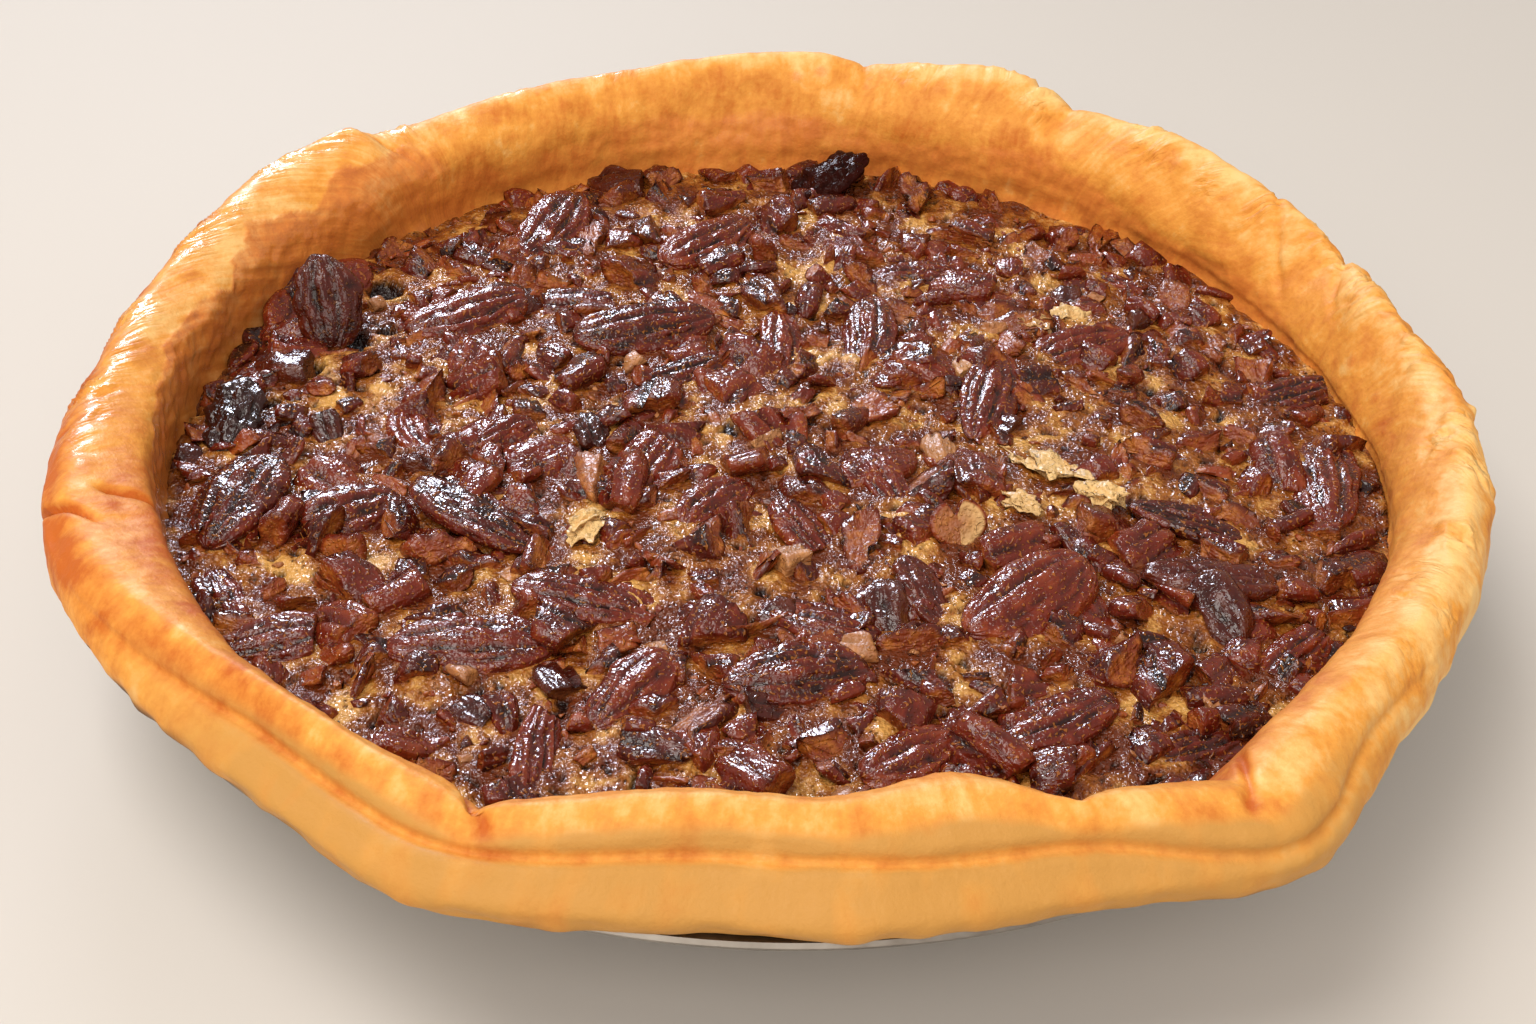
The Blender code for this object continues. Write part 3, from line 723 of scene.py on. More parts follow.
def half_shape(seed, half, groove, around=44, along=32):
    """A pecan half: a domed back with long grooves, wrinkled ridges between them and a folded underside."""
    dice = random.Random(seed)
    shift = dice.uniform(0, 50)
    skew, bend, thin = dice.uniform(-0.16, 0.16), dice.uniform(-0.16, 0.16), dice.uniform(0.85, 1.1)
    split, drift = dice.uniform(0.28, 0.42), dice.uniform(-0.10, 0.10)
    # Where each groove runs across the back, how deep it is and how wide
    grooves = [(split, 1.0, 0.10), (-split, 1.0, 0.10), (0.0, 0.40, 0.06)]
    grooves += [(0.74, 0.55, 0.09), (-0.74, 0.55, 0.09)]
    shape, ridges, fibres = new_nut()
    bmesh.ops.create_uvsphere(shape, u_segments=around, v_segments=along, radius=1.0)
    bmesh.ops.rotate(shape, verts=shape.verts, matrix=Matrix.Rotation(math.pi / 2, 3, "Y"))
    for vert in shape.verts:
        a, y, z = vert.co
        ring = max(math.hypot(y, z), 1e-6)
        side, up = y / ring, z / ring
        girth = max(1.0 - a * a, 0.0) ** 0.45 * (1.0 - skew * a)
        wave = 0.12 * noise.noise(Vector((a * 2.4, shift, side * 0.6)))
        cut = 0.0
        for at, deep, wide in grooves:
            line = at * (1.0 - 0.35 * a * a) + drift + wave
            cut += deep * math.exp(-(((side - line) / wide) ** 2))
        # Short cracks slant off the grooves
        crack = max(1.0 - abs(noise.noise(Vector((a * 4.5 + side * 1.5, side * 2.5, shift + 3)))) / 0.10, 0.0)
        cut = groove * (1.0 - abs(a) ** 4) * (cut + 0.45 * crack)
        wrinkle = noise.noise(Vector((a * 3.2, side * 4.0, shift + 9)))
        wrinkle += 0.7 * noise.noise(Vector((a * 8, side * 9, shift)))
        lump = noise.noise(Vector((a * 1.8, side * 1.6, up + shift)))
        if up < 0:  # the underside is flatter, with one deep fold along it
            cut = 0.55 * math.exp(-((side / 0.20) ** 2)) * (1.0 - abs(a) ** 3) * min(-up * 2, 1.0)
        reach = girth * (1.0 - 0.30 * cut + 0.06 * wrinkle + 0.10 * lump)
        vert.co = (
            a * half[0] * (1.0 + 0.04 * lump),
            side * reach * half[1] + bend * half[1] * (a * a - 0.4),
            (up * thin if up > 0 else up * 0.8) * reach * half[2] * (1.0 - 0.80 * cut),
        )
        vert[ridges] = 0.80 + 0.45 * wrinkle - 1.5 * cut
        vert[fibres] = (a * half[0] * 0.35 + shift, side * half[1], up * half[2])
    return shape


def flaked_shape(seed, half):
    """A dry flake of nut flesh: thin torn leaves, crumpled and lying on each other."""
    dice = random.Random(seed)
    shape, ridges, fibres = new_nut()
    for leaf in range(4):
        made = bmesh.ops.create_uvsphere(shape, u_segments=26, v_segments=14, radius=1.0)["verts"]
        drift, reach = dice.uniform(0, 90), dice.uniform(0.55, 0.8)
        spin = Matrix.Rotation(dice.uniform(-0.8, 0.8), 3, "Z")
        spin = spin @ Matrix.Rotation(dice.uniform(-0.2, 0.2), 3, "X")
        aside, across = dice.uniform(-0.3, 0.3), dice.uniform(-0.25, 0.25)
        middle = Vector((aside * half[0], across * half[1], (leaf / 3 - 0.2) * half[2]))
        for vert in made:
            x, y, z = vert.co
            torn = 0.95 + 0.5 * noise.noise(Vector((x * 1.8, y * 1.8, drift)))
            torn += 0.3 * noise.noise(Vector((x * 5, y * 5, drift)))
            fold = noise.noise(Vector((x * 1.6, y * 1.6, drift + 5)))
            fold += 0.6 * noise.noise(Vector((x * 4, y * 4, drift + 5)))
            flat = Vector((x * half[0] * reach * torn, y * half[1] * reach * torn, 0.8 * fold * half[2]))
            vert[ridges] = 0.8
            vert[fibres] = flat + Vector((drift, 0, 0))
            vert.co = spin @ (flat + Vector((0, 0, 0.3 * MM * z))) + middle
    return shape


def heart_shape(half):
    """A nut broken across, whose cut end has two lobes with a notch between them."""
    shape, ridges, fibres = new_nut()
    bmesh.ops.create_uvsphere(shape, u_segments=48, v_segments=30, radius=1.0)
    for vert in shape.verts:
        x, y, z = vert.co
        notched = 1.0 - 0.62 * math.exp(-(((x + 0.08) / 0.20) ** 2)) * ease(z / 0.4)
        narrowed = 1.0 - 0.30 * max(-z, 0.0) ** 2
        vert.co = (x * narrowed * half[0], y * half[1], z * notched * half[2])
        vert[ridges] = 0.8
        vert[fibres] = vert.co
    return shape


def snap(shape, spot, way, flesh, rough=0.5 * MM):
    """Breaks a nut off at a plane. The broken face is rough flesh with a worn edge."""
    everything = shape.verts[:] + shape.edges[:] + shape.faces[:]
    kept = bmesh.ops.bisect_plane(shape, geom=everything, plane_co=spot, plane_no=way, clear_outer=True)
    rim = [item for item in kept["geom_cut"] if isinstance(item, bmesh.types.BMEdge)]
    edge = [item for item in kept["geom_cut"] if isinstance(item, bmesh.types.BMVert)]
    made = bmesh.ops.contextual_create(shape, geom=rim)["faces"]
    for face in made:
        bmesh.ops.inset_region(shape, faces=[face], thickness=rough, depth=-0.3 * rough)
        poked = bmesh.ops.poke(shape, faces=[face])
        for vert in set(v for f in poked["faces"] for v in f.verts):
            vert[flesh] = 1.0
            vert.co += Vector(way) * rough * 1.4 * noise.noise(vert.co / (3 * rough))
    if made:
        every_way = {"use_axis_x": True, "use_axis_y": True, "use_axis_z": True}
        bmesh.ops.smooth_vert(shape, verts=edge, factor=0.5, **every_way)


def add_tone(shape, tone, char=0.0):
    """Marks a whole shape with how pale it is, from 0 to 1, and how burnt."""
    for name, value in (("tone", tone), ("char", char), ("flesh", None)):
        layer = shape.verts.layers.float.get(name) or shape.verts.layers.float.new(name)
        if value is not None:
            for vert in shape.verts:
                vert[layer] = value


def nut_finish(settings, name="syrup-glazed pecan", gleam=0.45):
    """Pecans under a film of baked syrup: mahogany skin, paler on the ridges, wet gloss over fine pits.

    The tone of a nut makes it paler, and above 0.5 dry as well.
    """
    made, tree, shader = new_material(name)
    where = add(tree, "TexCoord").outputs["Object"]
    fibre = add(tree, "Attribute", attribute_name="fibre").outputs["Vector"]
    ridge, flesh, tone, char, film = [
        add(tree, "Attribute", attribute_name=value).outputs["Fac"] for value in NUT_VALUES
    ]
    patches = add(tree, "TexNoise", {"Vector": where, "Scale": per(3.5), "Detail": 5.0, "Roughness": 0.68})
    wrinkles = add(tree, "TexNoise", {"Vector": fibre, "Scale": per(1.5), "Detail": 1.5})
    pits = add(tree, "TexNoise", {"Vector": where, "Scale": per(0.8), "Detail": 1.0})
    # The skin darkens to near black in the grooves: partly its own darker colour, partly painted shade
    level = add(tree, "Math", {0: patches, 1: 1.5, 2: ridge}, **SUM)
    level = add(tree, "Math", {0: tone, 1: 0.9, 2: level}, **SUM)
    level = add(tree, "Math", {0: level, 1: 0.5, 2: -0.32}, **SUM)
    browning = [(0.12, settings.furrow_shade), (0.50, settings.skin), (1.0, settings.worn)]
    skin = add(tree, "ValToRGB", {0: level}, stops=browning)
    pale = add(tree, "Math", {0: patches, 1: 3.0, 2: -1.35}, **SHARE)
    meat = add(tree, "Mix", {0: pale, 6: settings.worn, 7: settings.flesh}, **BLEND)
    torn = add(tree, "Math", {0: pale, 1: 0.5, 2: 0.45}, **SUM)
    torn = add(tree, "Math", {0: torn, 1: flesh}, operation="MULTIPLY")
    open_face = add(tree, "Mix", {0: torn, 6: skin, 7: meat}, **BLEND)
    # Beads of clear syrup, fewer on burnt nuts
    bead = add(tree, "TexNoise", {"Vector": where, "Scale": per(0.6), "Detail": 0.0})
    bead = add(tree, "Math", {0: bead, 1: 8.0, 2: -4.9}, **SHARE)
    whole = add(tree, "Math", {0: char, 1: -0.4, 2: 0.4}, **SUM)
    amber = add(tree, "Math", {0: bead, 1: whole}, operation="MULTIPLY")
    beaded = add(tree, "Mix", {0: amber, 6: open_face, 7: settings.amber}, **BLEND)
    dry = add(tree, "Math", {0: tone, 1: 2.0, 2: -1.0}, **SHARE)
    bare = add(tree, "Mix", {0: dry, 6: beaded, 7: settings.bare}, **BLEND)
    burnt = add(tree, "Mix", {0: char, 6: bare, 7: settings.char}, **BLEND)
    # Custard and froth cling to the nut up to a ragged line
    spill = add(tree, "Math", {0: patches, 1: 3.0, 2: -2.0}, **SUM)
    spill = add(tree, "Math", {0: film, 1: 1.5, 2: spill}, **SHARE)
    dipped = add(tree, "Mix", {0: spill, 6: burnt, 7: settings.film}, **BLEND)

    rough = add(tree, "Math", {0: patches, 1: 0.55, 2: -0.10}, **SUM)
    rough = add(tree, "Math", {0: dry, 1: 0.3, 2: rough}, **SUM)
    rough = add(tree, "Math", {0: flesh, 1: 0.18, 2: rough}, **SUM)
    relief = add(tree, "Math", {0: pits, 1: 0.45, 2: wrinkles}, **SUM)
    relief = add(tree, "Math", {0: bead, 1: 0.35, 2: relief}, **SUM)
    # Burnt nuts shrank smooth under the syrup
    less = add(tree, "Math", {0: char, 1: -0.35, 2: 1.0}, **SUM)
    relief = add(tree, "Math", {0: relief, 1: less}, operation="MULTIPLY")
    bump = add(tree, "Bump", {"Height": relief, "Strength": 1.0, "Distance": 0.55 * MM})
    feed(tree, shader, {"Base Color": dipped, "Roughness": rough, "Normal": bump})
    feed(tree, shader, {"Specular IOR Level": gleam})
    return made


def dip(mesh, rise):
    """Marks how near each point of a nut is to the custard: 1 at its top and below, 0 from rise above it."""
    places = read_places(mesh)
    above = places[:, 2] - filling_height(places[:, 0], places[:, 1])
    write_values(mesh, "film", np.clip(1.0 - above / rise, 0.0, 1.2))


def make_nuts(settings, finish, dry_finish):
    """One detailed nut for each nut of the solids, in its place."""
    for node in sorted(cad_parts):
        kind = next((kind for kind in NUT_KINDS if node.startswith(kind)), None)
        if kind is None:
            continue
        slot, snapped, char = NUT_KINDS[kind]
        turn, middle, half = nut_stance(node)
        char = BURNS.get(node, char)
        half = half * (1.0 - 0.16 * char)
        dice = random.Random(node)
        length = half[0] * (1.4 if snapped else 1.0)
        heart = node == HEART_SHAPED
        if heart:
            shape = heart_shape(HEART_HALF)
            turn = Matrix.Rotation(math.radians(14), 3, "Z") @ Matrix.Rotation(math.radians(-36), 3, "X")
            middle.z = filling_height(middle.x, middle.y) + 3.2 * MM
        elif kind == "nut_flake":
            shape = flaked_shape(node, half)
        else:
            shape = half_shape(node, (length, half[1], half[2]), settings.groove * (1.0 - 0.5 * char))
        tone = {"nut_flake": 0.3 if heart else 0.95, "burnt_pecan": 0.0}.get(kind, dice.choice(TONES))
        add_tone(shape, tone, char)
        flesh = shape.verts.layers.float["flesh"]
        if heart:
            snap(shape, Vector((0, -0.6 * MM, 0)), Vector((0, -1, 0)), flesh, 0.2 * MM)
            tones = shape.verts.layers.float["tone"]
            for vert in shape.verts:
                if vert[flesh] > 0.5:
                    vert[tones] = 0.85 if vert.co.x > 0 else 0.56
        elif snapped and kind != "nut_flake":
            for side in (-1, 1):
                way = direction(dice, side, (-0.4, 0.4), (-0.3, 0.4))
                snap(shape, Vector((side * half[0] * 0.97, 0, 0)), way, flesh)
        for vert in shape.verts:
            rough = 0.25 + 1.1 * char
            drift = Vector((length * 9999, 0, 0))
            lumps = noise.noise(vert.co / (4.0 * MM) + drift)
            lumps += (0.3 + 0.9 * char) * noise.noise(vert.co / (1.8 * MM) + drift)
            vert.co += vert.normal * rough * MM * lumps
        placed = Matrix.Translation(middle) @ turn.to_4x4()
        bmesh.ops.transform(shape, matrix=placed, verts=shape.verts)
        bmesh.ops.recalc_face_normals(shape, faces=shape.faces)
        mesh = make_mesh(node, shape)
        dip(mesh, 1.0 * MM)
        make_piece(f"glazed_{node}", mesh, dry_finish if node == CRUMBLED else finish, [node])


# ---- Chopped nuts --------------------------------------------------------------------------------


def broken_piece(seed, size, groove, tone, char, peeled, around, along):
    """A chopped piece about as long as size: a pecan half snapped across, and often split lengthwise."""
    dice = random.Random(seed)
    half = (size * dice.uniform(0.60, 0.85), size * dice.uniform(0.32, 0.50), size * dice.uniform(0.22, 0.32))
    shape = half_shape(seed, half, groove * 0.9, around, along)
    add_tone(shape, tone, char)
    flesh = shape.verts.layers.float["flesh"]
    rough = 0.05 * size
    across = direction(dice, 1, (-0.6, 0.6), (-0.5, 0.5))
    snap(shape, Vector((half[0] * dice.uniform(0.15, 0.5), 0, 0)), across, flesh, rough)
    if dice.random() < 0.65:
        across = direction(dice, -1, (-0.5, 0.5), (-0.4, 0.4))
        snap(shape, Vector((-half[0] * dice.uniform(0.35, 0.6), 0, 0)), across, flesh, rough)
    for side in (-1, 1):
        if dice.random() < 0.42:
            split = direction(dice, (-0.5, 0.5), side, (-0.2, 0.8))
            snap(shape, Vector((0, side * half[1] * dice.uniform(0.1, 0.5), 0)), split, flesh, rough)
    centre = sum((vert.co for vert in shape.verts), Vector()) / len(shape.verts)
    for vert in shape.verts:
        lumps = noise.noise(vert.co / (0.28 * size) + Vector((size * 9999, 0, 0)))
        vert.co += vert.normal * 0.05 * size * lumps
        vert.co -= centre
        vert[flesh] = max(vert[flesh], peeled)
    bmesh.ops.recalc_face_normals(shape, faces=shape.faces)
    return make_mesh("piece", shape)


def crumb(seed, tone, char):
    """A crumb of nut: a rough grain with flat sides, 1 long."""
    dice = random.Random(seed)
    shape = bmesh.new()
    ridges = shape.verts.layers.float.new("ridge")
    add_tone(shape, tone, char)
    flesh = shape.verts.layers.float["flesh"]
    bmesh.ops.create_icosphere(shape, subdivisions=2, radius=0.5)
    add_tone(shape, tone, char)
    for _ in range(6):
        way = direction(dice, (-1, 1), (-1, 1), (-1, 1))
        reach = dice.uniform(0.12, 0.36)
        for vert in shape.verts:
            vert.co -= way * max(vert.co.dot(way) - reach, 0.0)
    for vert in shape.verts:
        vert.co += vert.co.normalized() * 0.12 * noise.noise(vert.co * 5 + Vector((dice.random(), 0, 0)))
        vert[ridges] = 0.8
        vert[flesh] = 0.8 * (tone > 0.2)
    return make_mesh("crumb", shape)


def strew(name, kinds, places, finish):
    """Joins copies of the kinds of piece, one at each place, into one mesh. A place is a matrix."""
    scene = bpy.context.scene
    base = bpy.data.objects.new(name, bpy.data.meshes.new(name))
    copies = [bpy.data.objects.new(name, kinds[number % len(kinds)]) for number in range(len(places))]
    for copy, place in zip(copies, places):
        copy.matrix_world = place
    for thing in [base, *copies]:
        scene.collection.objects.link(thing)
    with bpy.context.temp_override(
        active_object=base, selected_objects=[base, *copies], selected_editable_objects=[base, *copies]
    ):
        bpy.ops.object.join()
    mesh = base.data
    bpy.data.objects.remove(base)
    # The lowest stay inside the pastry, clear of the dish
    spots = read_places(mesh)
    reach = np.maximum(np.hypot(spots[:, 0], spots[:, 1]), MM)
    wall = DISH_BASE_RADIUS - DISH_MARGIN + spots[:, 2] * DISH_SLOPE
    spots[:, :2] *= np.minimum(1.0, wall / reach)[:, None]
    write_places(mesh, spots)
    dip(mesh, 1.2 * MM)
    make_piece(name, mesh, finish)


def strewn_places(count, sizes, sink, taken, spacing, seed, apart=True):
    """Places over the custard, clear of what is taken: a list of (x, y, reach), and one of (matrix, size)."""
    dice = random.Random(seed)
    spots, places = [], []
    for _ in range(60 * count):
        if len(spots) == count:
            break
        size = dice.uniform(*sizes) * MM
        far = (WALL_RADIUS - 1.0 * MM) * math.sqrt(dice.random())
        turn = dice.uniform(0, 2 * math.pi)
        x, y = far * math.cos(turn), far * math.sin(turn)
        if any(math.hypot(x - ox, y - oy) < spacing * (size / 2 + reach) for ox, oy, reach in taken):
            continue
        spots.append((x, y, size / 2))
        if apart:
            taken.append((x, y, size / 2))
        tilt = Matrix.Rotation(dice.gauss(0, 0.55), 4, "X") @ Matrix.Rotation(dice.gauss(0, 0.35), 4, "Y")
        spin = Matrix.Rotation(dice.uniform(0, 2 * math.pi), 4, "Z")
        place = Vector((x, y, filling_height(x, y) + size * dice.uniform(*sink)))
        places.append((Matrix.Translation(place) @ spin @ tilt, size))
    return spots, places


def make_chopped(settings, taken, finish):
    """Strews chopped nuts, chips and crumbs over the custard. Returns the pieces that the custard climbs."""
    mounds = []
    for name, count, sizes, sink, spacing, variants, around, along in [
        ("chopped_pecans", settings.chopped, (9, 18), (-0.05, 0.08), 0.42, 44, 24, 18),
        ("pecan_chips", settings.chips, (4.5, 9), (0.0, 0.18), 0.38, 60, 14, 10),
    ]:
        kinds = []
        for k in range(variants):
            size = mix(sizes[0], sizes[1], (k + 0.5) / variants) * MM
            char = 0.6 if k % 29 == 5 else 0.0
            peeled = 0.9 if k % 9 == 4 and size < 8 * MM else 0.0
            tone = 0.5 + 0.1 * (k % 2) if peeled else TONES[k % len(TONES)]
            look = (settings.groove, tone, char, peeled)
            kinds.append(broken_piece(f"{name} {k}", size, *look, around, along))
        spots, places = strewn_places(count, sizes, sink, taken, spacing, name)
        dice = random.Random(name + " kinds")
        chosen = [dice.choice(kinds) for _ in places]
        if name == "pecan_chips":
            for number, (x, y, turn, length, tone) in enumerate(PEELED):
                size = length * MM
                if tone > 0.7:
                    shape = flaked_shape(number, (0.55 * size, 0.3 * size, 0.16 * size))
                    add_tone(shape, tone)
                    chosen.append(make_mesh("flake", shape))
                else:
                    look = (settings.groove, tone, 0.0, 1.0)
                    chosen.append(broken_piece(f"peeled {number}", size, *look, 26, 20))
                stood = Vector((x * MM, y * MM, filling_height(x * MM, y * MM) + 0.20 * size))
                places.append((Matrix.Translation(stood) @ Matrix.Rotation(math.radians(turn), 4, "Z"), size))
        strew(name, chosen, [place for place, _ in places], finish)
        mounds += spots
    kinds = [crumb(k, CRUMB_TONES[k % len(CRUMB_TONES)], 0.8 if k % 17 == 7 else 0.0) for k in range(36)]
    sunk = [(x * MM, y * MM, reach * MM) for x, y, reach in CAVITIES]
    places = strewn_places(settings.crumbs, (1.0, 3.0), (0.0, 0.45), sunk, 1.0, "crumbs", False)[1]
    scaled = [place @ Matrix.Diagonal((size, size * 0.62, size * 0.5, 1.0)) for place, size in places]
    strew("pecan_crumbs", kinds, scaled, finish)
    return mounds


# ---- Custard -------------------------------------------------------------------------------------


def make_custard(settings, mounds):
    """The baked custard: a porous skin that climbs a little up each nut. mounds are (x, y, reach) of nuts."""
    shape = bmesh.new()
    bmesh.ops.create_grid(shape, x_segments=CUSTARD_CELLS, y_segments=CUSTARD_CELLS, size=1.0)
    rim = [edge for edge in shape.edges if edge.is_boundary]
    grown = bmesh.ops.extrude_edge_only(shape, edges=rim)["geom"]
    skirt = [item for item in grown if isinstance(item, bmesh.types.BMVert)]
    bmesh.ops.translate(shape, verts=skirt, vec=(0, 0, -1))
    bmesh.ops.contextual_create(shape, geom=[item for item in grown if isinstance(item, bmesh.types.BMEdge)])
    bmesh.ops.recalc_face_normals(shape, faces=shape.faces)
    mesh = make_mesh("custard", shape)
    places = read_places(mesh)

    below = places[:, 2] < -0.5
    u, v = places[:, 0].copy(), places[:, 1].copy()
    reach = WALL_RADIUS + 0.9 * MM
    x = reach * u * np.sqrt(1 - v**2 / 2)
    y = reach * v * np.sqrt(1 - u**2 / 2)
    near = np.zeros(len(places))
    for nut_x, nut_y, size in mounds:
        away = np.hypot(x - nut_x, y - nut_y) / size
        near = np.maximum(near, np.exp(-(((away - 0.70) / 0.50) ** 2)))
    floor = DISH_THICKNESS + GAP + PASTRY_THICKNESS
    values = {name: np.zeros(len(places)) for name in CUSTARD_VALUES}
    for number in range(len(places)):
        place = Vector((x[number], y[number], 0.0))
        height = filling_height(place.x, place.y)
        lumps = 0.8 * grain(place, 7 * MM, 1.0) + 0.6 * grain(place, 3.2 * MM, 2.0)
        lumps += 0.4 * grain(place, 1.7 * MM, 3.0)
        holes = ease((grain(place, 2.6 * MM, 6.0) - 0.40) / 0.20)
        holes += 0.8 * ease((grain(place, 1.8 * MM, 8.0) - 0.40) / 0.20)
        for at_x, at_y, wide in CAVITIES:
            away = math.hypot(place.x / MM - at_x, place.y / MM - at_y) + 1.8 * grain(place, 3 * MM, 14.0)
            holes += 2.6 * ease((wide - away) / 2.0)
        height += settings.relief * lumps - 1.0 * MM * holes + 1.1 * MM * near[number]
        places[number] = (place.x, place.y, floor if below[number] else height)
        # How deep the hollows are, which the finish paints near black as shade
        values["pit_shade"][number] = min(holes, 1.0)
        values["froth"][number] = 0.75 + 0.8 * grain(place, 9 * MM, 11.0) + 0.5 * lumps - 0.45 * near[number]
    places[below, :2] *= 0.80
    write_places(mesh, places)
    for name, each in values.items():
        write_values(mesh, name, each)
    make_piece("baked_custard", mesh, custard_finish(settings), ["filling"])


def custard_finish(settings):
    """Baked egg and syrup custard: caramel gold, full of fine bubbles, with a sticky gloss."""
    made, tree, shader = new_material("baked pecan custard")
    where = add(tree, "TexCoord").outputs["Object"]
    pit_shade, froth = [add(tree, "Attribute", attribute_name=value).outputs["Fac"] for value in CUSTARD_VALUES]
    patches = add(tree, "TexNoise", {"Vector": where, "Scale": per(2.6), "Detail": 5.0, "Roughness": 0.72})
    bubbles = add(tree, "TexVoronoi", {"Vector": where, "Scale": per(1.1), "Randomness": 1.0})
    level = add(tree, "Math", {0: froth, 1: 0.5, 2: patches}, **SUM)
    level = add(tree, "Math", {0: level, 1: 2.2, 2: -1.2}, **SUM)
    browning = [(0.0, settings.syrup), (0.5, settings.custard), (1.0, settings.froth)]
    colour = add(tree, "ValToRGB", {0: level}, stops=browning)
    # Open pores, in patches. Painted shade: the pores and the hollows are laid with near-black colour
    pore = add(tree, "Math", {0: bubbles, 1: -3.4, 2: 1.25}, **SHARE)
    some = add(tree, "Math", {0: patches, 1: -5.0, 2: 2.9}, **SHARE)
    pore = add(tree, "Math", {0: pore, 1: some}, operation="MULTIPLY")
    dark = add(tree, "Math", {0: pit_shade, 1: pore}, operation="MAXIMUM", use_clamp=True)
    done = add(tree, "Mix", {0: dark, 6: colour, 7: settings.hollow_shade}, **BLEND)

    rough = add(tree, "Math", {0: patches, 1: 0.4, 2: -0.06}, **SUM)
    froths = add(tree, "TexNoise", {"Vector": where, "Scale": per(0.85), "Detail": 1.0})
    relief = add(tree, "Math", {0: pore, 1: -0.5, 2: froths}, **SUM)
    bump = add(tree, "Bump", {"Height": relief, "Strength": 1.0, "Distance": 0.8 * MM})
    feed(tree, shader, {"Base Color": done, "Roughness": rough, "Normal": bump, "Specular IOR Level": 0.4})
    return made


# ---- Dish ----------------------------------------------------------------------------------------


def make_dish():
    """A plain pressed dish with a flat base, a slanting wall and a rolled edge, turned from one profile."""
    inset = DISH_THICKNESS * math.hypot(1.0, DISH_SLOPE)
    under = DISH_HEIGHT - DISH_THICKNESS
    outside = [
        (0.0, 0.0),
        (DISH_BASE_RADIUS - 2 * MM, 0.0),
        (DISH_BASE_RADIUS + 0.6 * MM, 1.6 * MM),
        (DISH_BASE_RADIUS + DISH_SLOPE * under - 0.4 * MM, under - 0.8 * MM),
        (DISH_RIM_RADIUS - 2 * DISH_HEM, under),
        (DISH_RIM_RADIUS, under - DISH_HEM),
        (DISH_RIM_RADIUS + DISH_HEM, under + 0.4 * DISH_THICKNESS),
        (DISH_RIM_RADIUS, DISH_HEIGHT),
        (DISH_BASE_RADIUS - inset + DISH_SLOPE * DISH_HEIGHT, DISH_HEIGHT),
        (DISH_BASE_RADIUS - inset + DISH_SLOPE * DISH_THICKNESS, DISH_THICKNESS),
        (0.0, DISH_THICKNESS),
    ]
    shape = bmesh.new()
    chain = [shape.verts.new((radius, 0.0, height)) for radius, height in outside]
    edges = [shape.edges.new(pair) for pair in zip(chain, chain[1:])]
    turned = {"axis": (0, 0, 1), "cent": (0, 0, 0), "angle": 2 * math.pi, "use_merge": True}
    bmesh.ops.spin(shape, geom=chain + edges, steps=192, **turned)
    bmesh.ops.remove_doubles(shape, verts=shape.verts, dist=0.01 * MM)
    bmesh.ops.recalc_face_normals(shape, faces=shape.faces)
    mesh = make_mesh("dish", shape)
    make_piece("pressed_dish", mesh, dish_finish(), ["dish"])
    mesh.set_sharp_from_angle(angle=math.radians(40))


def dish_finish():
    """Pressed aluminium, dulled by many bakings: cloudy, half matt and a slightly warm grey."""
    made, tree, shader = new_material("oven-dulled pressed aluminium")
    where = add(tree, "TexCoord").outputs["Object"]
    cloud = add(tree, "TexNoise", {"Vector": where, "Scale": per(12), "Detail": 4.0, "Roughness": 0.6})
    colour = add(tree, "ValToRGB", {0: cloud}, stops=[(0.3, linear("#7d746a")), (0.7, linear("#b3aca3"))])
    rough = add(tree, "Math", {0: cloud, 1: 0.3, 2: 0.25}, **SUM)
    feed(tree, shader, {"Base Color": colour, "Metallic": 1.0, "Roughness": rough})
    return made


# ---- Stage ---------------------------------------------------------------------------------------


def make_light(name, power, place, size, colour, gleam_only):
    """A soft light that faces the middle of the pie."""
    lamp = bpy.data.lights.new(name, "AREA")
    lamp.shape = "RECTANGLE"
    lamp.size, lamp.size_y = size
    lamp.energy = power
    lamp.color = linear(colour)[:3]
    made = bpy.data.objects.new(name, lamp)
    bpy.context.scene.collection.objects.link(made)
    made.location = place
    made.visible_diffuse = not gleam_only
    middle = Vector((0.0, 0.0, 40 * MM))
    made.rotation_euler = (middle - made.location).to_track_quat("-Z", "Y").to_euler()


def make_floor(settings):
    """A wide pale floor, a little cloudy."""
    shape = bmesh.new()
    bmesh.ops.create_circle(shape, cap_ends=True, segments=96, radius=FLOOR_REACH)
    floor = bpy.data.objects.new("floor", make_mesh("floor", shape))
    bpy.context.scene.collection.objects.link(floor)
    made, tree, shader = new_material("matt pale tabletop")
    where = add(tree, "TexCoord").outputs["Object"]
    cloud = add(tree, "TexNoise", {"Vector": where, "Scale": per(250), "Detail": 2.0})
    tint = add(tree, "Mix", {0: cloud, 6: settings.floor, 7: linear("#d6d0c9")}, **BLEND)
    feed(tree, shader, {"Base Color": tint, "Roughness": 0.8})
    floor.data.materials.append(made)


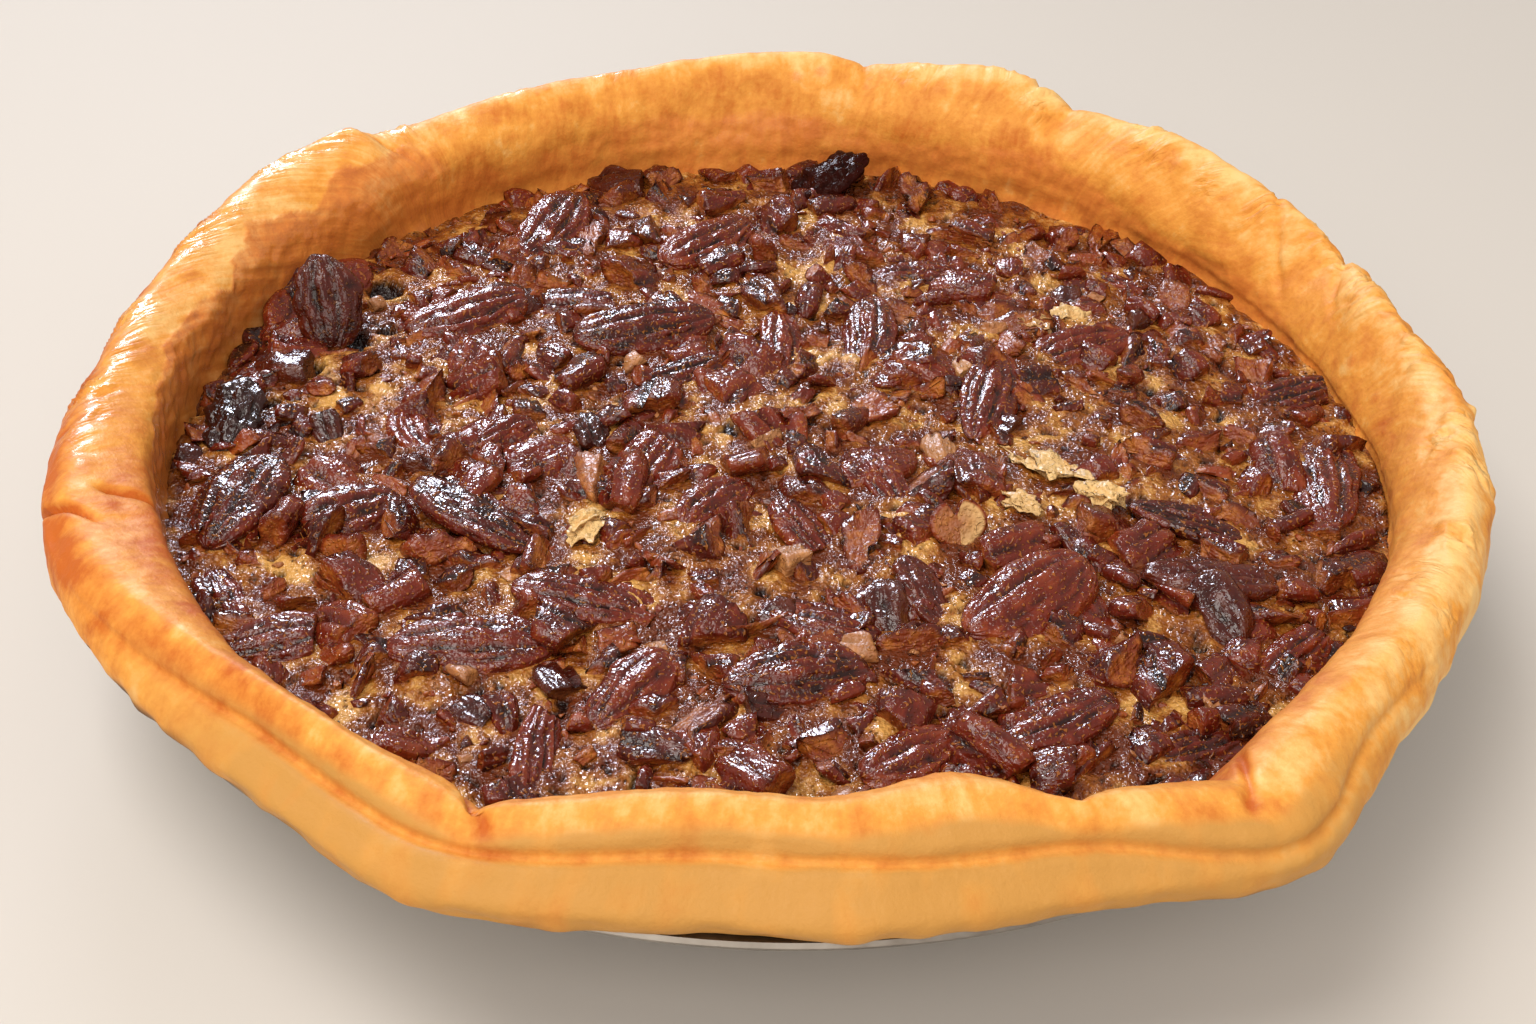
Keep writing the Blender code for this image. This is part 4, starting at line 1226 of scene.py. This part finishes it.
def make_stage(settings):
    """The floor, soft light from above and the front, the gleam of a window at the back, and the camera."""
    scene = bpy.context.scene
    make_floor(settings)
    for name, power, place, size, colour in [
        ("window", settings.window, (-0.34, 0.95, 0.68), (0.33, 0.25), "#e8eeff"),
        ("overhead", settings.sky, (-0.40, -0.14, 1.12), (0.7, 0.6), "#fffaf4"),
        ("fill", settings.fill, (-0.12, -0.92, 0.80), (1.0, 0.7), "#fff7ee"),
    ]:
        make_light(name, power, place, size, colour, gleam_only=(name == "window"))
    world = bpy.data.worlds.new("soft room light")
    world.use_nodes = True
    room = world.node_tree.nodes["Background"]
    feed(world.node_tree, room, {"Color": linear("#fff8f0"), "Strength": ROOM_STRENGTH})
    scene.world = world
    scene.view_settings.view_transform = "Standard"

    lens = bpy.data.cameras.new("camera")
    lens.lens = 50.0
    lens.sensor_width = 36.0
    lens.clip_start = 0.01
    camera = bpy.data.objects.new("camera", lens)
    scene.collection.objects.link(camera)
    heading = Matrix.Rotation(math.radians(CAMERA_HEADING), 4, "Z")
    tilt = Matrix.Rotation(math.radians(90.0 - CAMERA_DOWN), 4, "X")
    roll = Matrix.Rotation(math.radians(CAMERA_ROLL), 4, "Z")
    camera.matrix_world = Matrix.Translation(CAMERA_PLACE) @ heading @ tilt @ roll
    scene.camera = camera


# ---- Operators -----------------------------------------------------------------------------------


class PECANPIE_OT_dish(bpy.types.Operator):
    """Make the pressed dish"""

    bl_idname = "pecanpie.dish"
    bl_label = "Dish"

    def execute(self, context):
        make_dish()
        return {"FINISHED"}


class PECANPIE_OT_crust(bpy.types.Operator):
    """Make the folded puff-pastry crust"""

    bl_idname = "pecanpie.crust"
    bl_label = "Crust"

    def execute(self, context):
        make_crust(context.scene.pecanpie_pastry)
        return {"FINISHED"}


class PECANPIE_OT_filling(bpy.types.Operator):
    """Make the custard, the nuts on it and the chopped nuts in it"""

    bl_idname = "pecanpie.filling"
    bl_label = "Filling"

    def execute(self, context):
        nuts = context.scene.pecanpie_nuts
        finish = nut_finish(nuts)
        mounds, pale = [], []
        for node in sorted(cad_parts):
            if node.startswith(tuple(NUT_KINDS)):
                low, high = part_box(node)
                middle = (low + high) / 2
                mounds.append((middle.x, middle.y, 0.42 * (high - low).xy.length))
                if node.startswith("nut_flake"):
                    pale.append((middle, mounds[-1][2]))
        make_nuts(nuts, finish, nut_finish(nuts, "dry burnt pecan", 0.05))
        taken = [(x, y, 0.75 * reach) for x, y, reach in mounds]
        taken += [(middle.x, middle.y, 1.4 * reach) for middle, reach in pale]
        taken += [(x * MM, y * MM, 1.9 * reach * MM) for x, y, reach in CAVITIES]
        mounds += make_chopped(nuts, taken, finish)
        make_custard(context.scene.pecanpie_filling, mounds)
        return {"FINISHED"}


class PECANPIE_OT_stage(bpy.types.Operator):
    """Make the floor, the lights and the camera"""

    bl_idname = "pecanpie.stage"
    bl_label = "Stage"

    def execute(self, context):
        make_stage(context.scene.pecanpie_stage)
        return {"FINISHED"}


class PECANPIE_PT_panel(bpy.types.Panel):
    """Lists the pie's settings and the steps that make it"""

    bl_idname = "PECANPIE_PT_panel"
    bl_label = "Pecan pie"
    bl_space_type = "VIEW_3D"
    bl_region_type = "UI"
    bl_category = "Pecan pie"

    def draw(self, context):
        for group, steps in SETTINGS_AND_STEPS:
            box = self.layout.box()
            if group:
                settings = getattr(context.scene, group)
                for name in settings.bl_rna.properties.keys():
                    if name not in ("rna_type", "name"):
                        box.prop(settings, name)
            for step in steps:
                box.operator(step)


SETTINGS_AND_STEPS = [
    ("", ["pecanpie.dish"]),
    ("pecanpie_pastry", ["pecanpie.crust"]),
    ("pecanpie_filling", []),
    ("pecanpie_nuts", ["pecanpie.filling"]),
    ("pecanpie_stage", ["pecanpie.stage"]),
]
GROUPS = {
    "pecanpie_pastry": PastrySettings,
    "pecanpie_filling": FillingSettings,
    "pecanpie_nuts": NutSettings,
    "pecanpie_stage": StageSettings,
}
CLASSES = (
    *GROUPS.values(),
    PECANPIE_OT_dish,
    PECANPIE_OT_crust,
    PECANPIE_OT_filling,
    PECANPIE_OT_stage,
    PECANPIE_PT_panel,
)


def register():
    for each in CLASSES:
        bpy.utils.register_class(each)
    for name, group in GROUPS.items():
        setattr(bpy.types.Scene, name, bpy.props.PointerProperty(type=group))


def unregister():
    for name in GROUPS:
        delattr(bpy.types.Scene, name)
    for each in reversed(CLASSES):
        bpy.utils.unregister_class(each)


def main():
    register()
    bpy.ops.pecanpie.dish()
    bpy.ops.pecanpie.crust()
    bpy.ops.pecanpie.filling()
    bpy.ops.pecanpie.stage()


if __name__ == "__main__":
    main()
